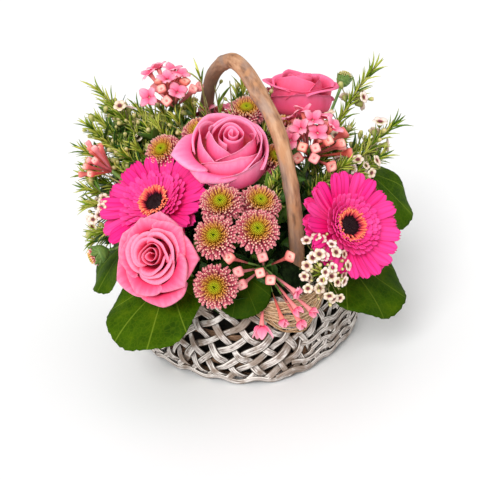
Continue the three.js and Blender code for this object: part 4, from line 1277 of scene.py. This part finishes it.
def make_santini_spray(number, spray):
    """The green of three heads: their cups and buttons, and the forks of the stem that bears them."""
    green = Piece(f"santini_{number}_stems")
    fork = np.array(spray["fork"], float)
    entry, _ = root_end(spray["root"])
    into = unit(entry - fork)
    green.add(tube(np.linspace(fork - into, entry + into * 6, 8), STEMS["santini"], 8), "stem")
    cup = turned([(0.01, -9.5), (5.6, -10), (7.2, -13), (4.6, -17.5), (1.7, -20), (0.01, -20.5)], 12)
    for head in spray["heads"]:
        place = bloom_frame(head)
        green.add(placed(cup, place), "stem")
        back = -facing(head)
        start = head["at"] + back * 16
        reach = np.linalg.norm(start - fork)
        path = bezier([start, start + back * reach * 0.35, fork - into * reach * 0.25, fork + into * 2], 16)
        green.add(tube(path, STEMS["fork"], 7), "stem")
        add_button(green, 5.8, SANTINI_FLORETS, place)
    green.make("santini_green", f"santini_spray_{number}_green")


def oval_leaf(u, v, length, width):
    y = v * width / 2 * np.sin(math.pi * (0.04 + 0.95 * u)) ** 0.8
    return points(length * u, y, -0.22 * length * u ** 2 + 0.3 * width / 8 * np.abs(v))


def make_santini_bud(number, bud, rng):
    """An opening bud: green scales round closed quills with a green eye."""
    place = bloom_frame(bud) @ stretched(*[bud["size"]] * 3)
    piece = Piece(f"santini_bud_{number}_opening")
    ball = turned([(0.01, -1), (5, -1.5), (8, -6), (8.2, -9), (6, -13), (2, -16), (0.01, -17)], 16)
    piece.add(placed(ball, place), "stem")
    scale = sheet(oval_leaf, (8, 5), 7, 5, 0.5)
    for k in range(BUD_SCALES):
        at = ring_frame(k * GOLDEN_ANGLE, 6.6 + 0.6 * (k % 3), -12 + 2 * (k % 3), 1.45)
        piece.add(placed(scale, place @ at), "stem")
    for ring, (count, reach, rise) in enumerate(BUD_RINGS):
        for k in range(count):
            at = ring_frame(FULL_TURN * (k + 0.5 * (ring % 2)) / count)
            shape = quill(reach, rise + rng.uniform(-0.4, 0.4), 0.9, 1.7)
            piece.add(placed(shape, place @ at, 0.15 + 0.25 * ring), bud["petals"])
    add_button(piece, 4.2, BUD_FLORETS, place)
    piece.add(tube(stem_behind(bud, 14 * bud["size"]), STEMS["bud"], 8), "stem")
    piece.make("santini_green", f"santini_bud_{number}")


# Galax leaves

def leaf_frame(leaf):
    """X from the stalk to the tip, and Z out of the leaf's upper side."""
    normal = facing(leaf)
    tip = direction(leaf["turn"], leaf["rise"] - 90)
    made = np.eye(4)
    made[:3, :3] = np.stack([tip, np.cross(normal, tip), normal], 1)
    made[:3, 3] = leaf["at"]
    return made


def galax_surface(u, v, size, waves, phase):
    """A round leaf drawn from its stalk outwards, with a notch behind the stalk and a toothed, wavy edge."""
    stalk = -0.66 * size
    angle = v * math.radians(167)
    to_edge = -stalk * np.cos(angle) + np.sqrt(np.maximum(size ** 2 - (stalk * np.sin(angle)) ** 2, 0))
    distance = u * to_edge * (1 + 0.018 * np.abs(np.sin(26 * angle)) * u ** 3)
    x = stalk + distance * np.cos(angle)
    y = distance * np.sin(angle)
    out = np.hypot(x, y) / size
    wave = 0.07 * size * out ** 3 * np.sin(waves * np.arctan2(y, x) + phase)
    ribs = 0.55 * np.abs(np.sin(5.5 * math.pi * (v + 1) / 2)) * np.minimum(u * 3, 1)
    return points(x, y, wave - 0.12 * size * out ** 2 + ribs)


def make_leaf(number, leaf, rng):
    place = leaf_frame(leaf)
    size = leaf["size"]
    piece = Piece(f"galax_{number}")
    shape = sheet(galax_surface, (size, 5, rng.uniform(-0.6, 0.6)), 16, 120, 0.7)
    piece.add(placed(shape, place, leaf["light"]), "galax")
    stalk = moved(np.array([-size * 0.68, 0, -size * 0.07]), place)
    back = place[:3, :3] @ np.array([-0.8, 0, -0.6])
    piece.add(tube(stem_path(stalk, back, leaf["root"]), STEMS["leaf"], 8), "stem")
    piece.make("galax", f"galax_leaf_{number}")


# Bouvardia

def spread_round(axis, count, widest, reach):
    """Points that are spread evenly round an axis, at a reach from its start."""
    aim = Vector((0, 0, 1)).rotation_difference(Vector(axis))
    for share, azimuth in golden_spread(count, 0.3):
        tilt = math.radians(widest) * share
        out = Vector(polar(math.sin(tilt), azimuth, math.cos(tilt)))
        yield np.array(aim @ out) * reach


def trumpet(length, face):
    """A long tube that widens to a square closed face with a pale rim and a dimple."""
    outline = [
        (0.01, 0), (0.8, 0.3 / length), (1.0, 0.3), (1.25, 0.55), (1.7, 0.7), (face * 0.72, 0.8),
        (face * 0.98, 0.88), (face, 0.94), (face * 0.86, 0.985), (face * 0.62, 0.975), (face * 0.3, 0.95),
        (0.35, 0.9), (0.01, 0.89),
    ]
    outline = [(radius, height * length) for radius, height in outline]
    return turned_upwards(outline, 16, [0, 0, 0, 0, 0.2, 0.6, 0.95, 1, 1, 0.9, 0.5, 0, 0])


def slim_tube(length):
    outline = [
        (0.01, 0), (0.8, 0.3), (1.0, 0.3), (1.2, 0.6), (1.6, 0.8), (2.3, 0.96), (2.0, 0.98), (0.9, 0.92),
        (0.01, 0.9),
    ]
    return turned_upwards([(radius, height * length) for radius, height in outline], 12)


def flower_lobe(u, v, length, width, droop):
    wide = np.sqrt(np.maximum(np.sin(math.pi * (0.1 + 0.86 * u)), 0)) * (1 - 0.25 * u)
    z = 1.6 * np.sin(math.pi * u * 0.6) - droop * u ** 2 - 1.4 * v * v * u
    return points(1.0 + length * u, v * width / 2 * wide, z)


def add_open_flower(piece, at, length, rng, size):
    """A slim tube that ends in four spread lobes, which hang where the flower does."""
    piece.add(placed(slim_tube(length), at, rng.random()), "tube")
    hangs = at[2, 2] < -0.5
    for k in range(4):
        droop = rng.uniform(0, 3) - 8 * hangs
        sizes = (size * rng.uniform(8.5, 10), size ** 0.5 * rng.uniform(9.5, 11), size * droop)
        turn = ring_frame(math.radians(90 * k + rng.uniform(-8, 8)), 0, length * 0.96, rng.uniform(0.1, 0.8))
        piece.add(placed(sheet(flower_lobe, sizes, 7, 7, 0.6), at @ turn), "lobe")


def make_bouvardia(number, spray, rng):
    piece = Piece(f"bouvardia_{number}")
    hub = np.array(spray["at"], float)
    axis = facing(spray)
    piece.add(tube(stem_path(hub + axis * 3, -axis, spray["root"]), STEMS["bouvardia"], 8), "stem")
    flowers = list(np.array(spray["flowers"], float))
    for out in spread_round(axis, *spray["others"]):
        flowers.append(hub + out * rng.uniform(0.82, 1.0))
    for k, flower in enumerate(flowers):
        reach = np.linalg.norm(flower - hub)
        out = (flower - hub) / reach
        length = min(reach - 1, rng.uniform(26, 33))
        foot = flower - out * length
        at = aimed(foot, out, rng.uniform(0, 6))
        piece.add(tube([hub, (hub + foot) / 2 + (0, 0, 0.6), foot + out], 0.8, 5), "stem")
        if k in spray["open"]:
            add_open_flower(piece, at, length, rng, 1.0)
        elif k in spray["opening"]:
            add_open_flower(piece, at, length, rng, 0.55)
        else:
            shape = trumpet(length, spray["face"] * rng.uniform(0.85, 1.05))
            piece.add(placed(shape, at, rng.random()), "tube")
    piece.make("bouvardia", f"bouvardia_spray_{number}")


# Waxflower and the needles on its twigs

# Spaces that the greens keep clear of: a bloom's frame, its radius, and how deep it is behind its face
SANTINI_HEADS = [head for spray in SANTINI_SPRAYS for head in spray["heads"]]
BLOOM_SPACES = [(bloom_frame(rose), ROSE_RADIUS, 30) for rose in ROSES]
BLOOM_SPACES += [(bloom_frame(gerbera), gerbera["radius"] + 1, 5) for gerbera in GERBERAS]
BLOOM_SPACES += [(bloom_frame(head), SANTINI_RADIUS, 9) for head in SANTINI_HEADS]
FRONT_SPACE = 40
HANDLE_SPACE = 10
HANDLE_LINE = handle_points(80)


def near_bloom(*places):
    """Whether one of the places is inside a bloom, in front of its face, or just in front of the handle."""
    for place in places:
        for bloom, radius, depth in BLOOM_SPACES:
            x, y, z = bloom[:3, :3].T @ (place - bloom[:3, 3])
            if -depth < z < FRONT_SPACE and math.hypot(x, y) < radius:
                return True
        for step in (0, 14, 28):
            if np.min(np.linalg.norm(HANDLE_LINE - (0, step, 0) - place, axis=1)) < HANDLE_SPACE:
                return True
    return False


def needle(length, width):
    t = np.linspace(0, 1, 4)
    path = points(length * t, 0, 0.12 * length * np.sin(math.pi * t * 0.7))
    return tube(path, width * np.array([0.45, 0.6, 0.5, 0.1]), 3, flat=0.7, side=(0, 1, 0))


def wax_petal(u, v, radius):
    y = v * radius * 0.56 * np.sqrt(np.maximum(np.sin(math.pi * (0.16 + 0.8 * u)), 0))
    return points(radius * (0.45 + 0.75 * u), y, 0.35 * radius * u - 0.22 * radius * u * u)


def wax_calyx(radius):
    return turned_upwards([
        (0.01, -5.5), (1.1, -5.2), (radius * 0.5, -2), (radius * 0.62, 0.2), (radius * 0.5, 0.6),
        (radius * 0.34, -0.8), (0.01, -1.2),
    ], 10)


def wax_cup(radius):
    """A dark hollow middle and five round pale petals, as a list of shapes."""
    outline = [(radius * 0.5, 0.4), (0.01, -0.9), (0.01, -0.7), (radius * 0.34, -0.3), (radius * 0.5, 0.75)]
    bowl = revalued(turned(outline, 10), lambda along: 0.9 * np.maximum(along - 0.5, 0))
    petal = revalued(sheet(wax_petal, (radius,), 4, 4, 0.45), lambda along: 0.5 + 0.5 * along)
    petals = [placed(petal, ring_frame(FULL_TURN * k / 5, 0, 0.1)) for k in range(5)]
    return [bowl] + petals


NEEDLE = needle(NEEDLE_LENGTH, 1.9)
WAX_CALYX = wax_calyx(WAXFLOWER_RADIUS)
WAX_CUP = wax_cup(WAXFLOWER_RADIUS)
WAX_BUD = turned_upwards([(0.01, -3), (0.9, -2.6), (1.7, -0.6), (2.1, 1), (1.7, 2.4), (0.01, 3.1)], 8)


def add_cup(piece, at, tone, size):
    at = at @ stretched(size, size, size)
    piece.add(placed(WAX_CALYX, at), "calyx")
    for part in WAX_CUP:
        piece.add(placed(part, at, tone), "cup")


def add_wax_bud(piece, at, size):
    piece.add(placed(WAX_BUD, at @ stretched(size, size, size)), "calyx")


def part_of_path(path, share):
    """The last point of a path before a share of it, the step to the next, and how much of it is done."""
    place = share * (len(path) - 1)
    i = min(int(place), len(path) - 2)
    return path[i], path[i + 1] - path[i], place - i


def add_needles(piece, path, first, rng, size=1.0):
    for k in range(NEEDLES_ON_A_STEM):
        share = first + (1 - first) * (k + rng.random()) / NEEDLES_ON_A_STEM
        start, step, done = part_of_path(path, share)
        origin = start + step * done
        lean = math.radians(rng.uniform(34, 68)) * (1 - 0.3 * share)
        at = leaning_frame(origin, unit(step), k * GOLDEN_ANGLE, lean)
        length = size * rng.uniform(0.75, 1.1)
        if not near_bloom(origin, origin + at[:3, 0] * NEEDLE_LENGTH * length):
            piece.add(placed(NEEDLE, at @ stretched(length, 1, length), rng.random()), "needle")


def add_wax_flowers(piece, path, count, rng):
    """Cups and buds on short stalks near the end of a stem."""
    for k in range(count * 2):
        start, step, _ = part_of_path(path, rng.uniform(0.62, 0.97))
        along = unit(step)
        out = leaning_frame(start, along, k * GOLDEN_ANGLE, math.radians(rng.uniform(30, 65)))[:3, 0]
        reach = rng.uniform(9, 17)
        end = start + out * reach
        if near_bloom(end + out * 4):
            continue
        piece.add(tube([start, start + out * reach * 0.5 + along, end], 0.5, 4), "twig")
        face = aimed(end + out * 2, out, rng.uniform(0, 6))
        if k % 2 == 0:
            add_cup(piece, face, rng.uniform(0, 0.8), rng.uniform(0.85, 1.1))
        else:
            add_wax_bud(piece, face, rng.uniform(0.8, 1.2))


def add_bunch(piece, foot, bunch, rng):
    """Many open cups close together on thin stalks from one point, with buds between them."""
    middle, front = np.array(bunch["at"]), bloom_frame(bunch)[:3, 2]
    side = unit(np.cross((0, 0, 1), front))
    rise = np.cross(front, side)
    wide, tall = bunch["reach"]
    for k, (share, azimuth) in enumerate(golden_spread(2 * bunch["cups"])):
        x, y = share * math.cos(azimuth), share * math.sin(azimuth)
        depth = rng.uniform(-9, 4) - 8 * share ** 2
        end = middle + side * x * wide + rise * y * tall + front * depth
        out = unit(front * 1.2 + side * x + rise * y + rng.uniform(-0.4, 0.4, 3))
        start = foot + (end - foot) * 0.3
        stalk = bezier([start, start + (end - start) * 0.4, end - out * 8, end - out * 2], 6)
        piece.add(tube(stalk, 0.45, 4), "twig")
        face = aimed(end, out, rng.uniform(0, 6))
        if k % 2 == 0:
            add_cup(piece, face, rng.uniform(0, 0.7), rng.uniform(0.66, 0.84))
        elif k % 4 == 1:
            add_wax_bud(piece, face, rng.uniform(0.5, 0.8))


def make_waxflower(number, spray, rng):
    entry, inward = root_end(spray["root"])
    path = bezier([entry, entry - inward * 30, spray["bend"], spray["tip"]], 40)
    piece = Piece(f"waxflower_{number}")
    piece.add(tube(path, np.linspace(1.6, 0.6, 40), 8), "twig")
    add_needles(piece, path, 0.3, rng)
    add_wax_flowers(piece, path[:-3], spray["cups"], rng)
    if number in WAX_BUNCHES:
        add_bunch(piece, path[30], WAX_BUNCHES[number], rng)
    piece.make("waxflower", f"waxflower_spray_{number}")


# Greenery between the blooms

def add_sprig_leaves(sprigs, path, leaf, rng):
    for _ in range(8):
        i = int(rng.uniform(8, 22))
        at = leaning_frame(path[i], unit(path[i + 1] - path[i]), rng.uniform(0, 6), rng.uniform(0.3, 1.2))
        if not near_bloom(path[i], path[i] + at[:3, 0] * SPRIG_LEAF[0]):
            sprigs.add(placed(leaf, at, 0.4 + 0.6 * rng.random()), "filler")


def add_sprig_buds(sprigs, path, count, rng):
    for k in range(count):
        i = int(rng.uniform(13, 24))
        at = leaning_frame(path[i], unit(path[i + 1] - path[i]), k * GOLDEN_ANGLE, rng.uniform(0.5, 1.0))
        out = at[:3, 0]
        end = path[i] + out * rng.uniform(7, 13)
        if not near_bloom(end):
            sprigs.add(tube([path[i], path[i] + out * 4, end], 0.4, 4), "twig")
            add_wax_bud(sprigs, aimed(end, out), rng.uniform(0.7, 1.25))


def make_sprigs():
    """Short sprigs that fill the spaces between the blooms, each from the foam to its tip."""
    rng = np.random.default_rng(31)
    sprigs = Piece("filler_sprigs")
    leaf = sheet(oval_leaf, SPRIG_LEAF, 6, 3, 0.5)
    for tip, buds in SPRIGS:
        tip = np.array(tip, float)
        foot = np.array([0.55 * tip[0], 0.55 * tip[1], 62 + 0.3 * tip[2]])
        knee = foot * 0.45 + tip * 0.55 + (0, 0, 10)
        path = bezier([foot, foot + (0, 0, 22), knee, tip], 26)
        sprigs.add(tube(path[1::3], np.linspace(1.3, 0.5, 9), 5), "twig")
        add_needles(sprigs, path[:-1], 0.35, rng, 0.9)
        add_sprig_leaves(sprigs, path, leaf, rng)
        add_sprig_buds(sprigs, path, buds * 2, rng)
    sprigs.make("waxflower")


def make_filler():
    """Small dark leaves over the foam, so that no gap between the blooms shows it."""
    rng = np.random.default_rng(21)
    leaves = Piece("filler_leaves")
    leaf = sheet(oval_leaf, FILLER_LEAF, 6, 3, 0.5)
    for share, azimuth in golden_spread(FILLER_LEAVES):
        rise = math.radians(88 - 84 * share)
        reach = rng.uniform(0.78, 1.0)
        spread = FILLER_INNER_RADIUS + (FILLER_OUTER_RADIUS - FILLER_INNER_RADIUS) * share
        height = FILLER_FOOT + FILLER_RISE * math.sin(rise) * reach
        origin = polar(spread * reach * math.cos(rise) ** 0.35, azimuth, height)
        turn = math.degrees(azimuth) + rng.uniform(-50, 50)
        out = direction(turn, math.degrees(rise) + rng.uniform(-40, 30))
        at = aimed(origin, out, rng.uniform(0, 6)) @ tilted(0.6 - math.pi / 2)
        size = rng.uniform(0.7, 1.15)
        if not near_bloom(origin, origin + at[:3, 0] * FILLER_LEAF[0] * size):
            # Painted shade: leaves set further in get lower tags and so darker colours.
            tag = rng.random() * (0.3 + 0.7 * reach)
            leaves.add(placed(leaf, at @ stretched(size, size, size), tag), "filler")
    leaves.make("galax")


def make_moss():
    """A dark mound over the foam and the liner's edge that the stems come out of; its near-black is painted
    shade between the blooms.
    """
    rows, sides = 24, 90
    t = np.linspace(0, 1, rows)[:, None]
    angle = full_ring(sides)
    radius = cornered(BASE_RADIUS, angle) * np.sin(t * math.pi / 2) + 0.01
    lumps = 1.5 * np.sin(11 * angle + 9 * t) * np.sin(17 * t)
    height = MOSS_FOOT + MOSS_RISE * np.cos(t * math.pi / 2) ** 0.8 + lumps
    skin = np.vstack([polar(radius, angle, height).reshape(-1, 3), [0, 0, MOSS_FOOT - 10]])
    rim = np.arange(sides) + (rows - 1) * sides
    cap = np.stack([np.full(sides, rows * sides), np.roll(rim, -1), rim, rim], 1)
    moss = Piece("moss_mound")
    moss.add((skin, np.vstack([grid_faces(rows, sides, closed=True), cap]), np.zeros_like(skin)), "moss")
    moss.make("galax")


# Camera, light and floor

def make_camera():
    forward = Vector((0, math.cos(CAMERA_ELEVATION), -math.sin(CAMERA_ELEVATION)))
    level_up = Vector((0, math.sin(CAMERA_ELEVATION), math.cos(CAMERA_ELEVATION)))
    level_right = forward.cross(level_up)
    right = level_right * math.cos(CAMERA_ROLL) - level_up * math.sin(CAMERA_ROLL)
    up = level_right * math.sin(CAMERA_ROLL) + level_up * math.cos(CAMERA_ROLL)
    data = bpy.data.cameras.new("camera")
    data.angle = 2 * math.atan(CAMERA_VIEW_WIDTH / 2 / CAMERA_DISTANCE)
    camera = bpy.data.objects.new("camera", data)
    turn = Matrix((right, up, -forward)).transposed().to_4x4()
    turn.translation = (Vector(CAMERA_TARGET) - forward * CAMERA_DISTANCE) * MM
    camera.matrix_world = turn
    bpy.context.collection.objects.link(camera)
    bpy.context.scene.camera = camera


def make_lamp():
    """One even soft light from the front, high up at the left."""
    data = bpy.data.lights.new("key", "SUN")
    data.angle = LAMP_SPREAD
    data.energy = LAMP_STRENGTH
    light = bpy.data.objects.new("key", data)
    light.location = LAMP_PLACE
    light.rotation_euler = (-Vector(LAMP_PLACE)).to_track_quat("-Z", "Y").to_euler()
    bpy.context.collection.objects.link(light)


def make_studio():
    world = bpy.data.worlds.new("studio")
    world.use_nodes = True
    background = world.node_tree.nodes["Background"]
    background.inputs["Color"].default_value = (1, 1, 1, 1)
    background.inputs["Strength"].default_value = WORLD_STRENGTH
    bpy.context.scene.world = world
    bpy.ops.mesh.primitive_plane_add(size=FLOOR_METRES)
    floor = bpy.context.object
    floor.name = "floor"
    floor.data.materials.append(MATERIALS["floor"])
    bpy.context.scene.view_settings.view_transform = "Standard"


def make_basket():
    make_base()
    make_wall()
    make_rim()
    make_handle()
    for k, (name, (middle, half_span, loops)) in enumerate(LASHINGS.items()):
        make_lashing(name, middle, half_span, loops, np.random.default_rng(3 + k))
    make_liner()


def make_each(make, rows, seed):
    for k, row in enumerate(rows):
        make(k + 1, row, np.random.default_rng(seed + k))


def make_flowers():
    make_each(make_rose, ROSES, 100)
    make_each(make_gerbera, GERBERAS, 200)
    make_each(make_santini_head, SANTINI_HEADS, 300)
    for k, spray in enumerate(SANTINI_SPRAYS):
        make_santini_spray(k + 1, spray)
    make_each(make_santini_bud, SANTINI_BUDS, 350)
    make_each(make_leaf, LEAVES, 400)
    make_each(make_bouvardia, BOUVARDIA, 500)
    make_each(make_waxflower, WAXFLOWER, 600)
    make_sprigs()


def dress_kept_nodes():
    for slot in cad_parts["floral_foam"].material_slots:
        slot.material = MATERIALS["foam"]


make_camera()
make_lamp()
make_studio()
make_basket()
make_flowers()
make_moss()
make_filler()
dress_kept_nodes()
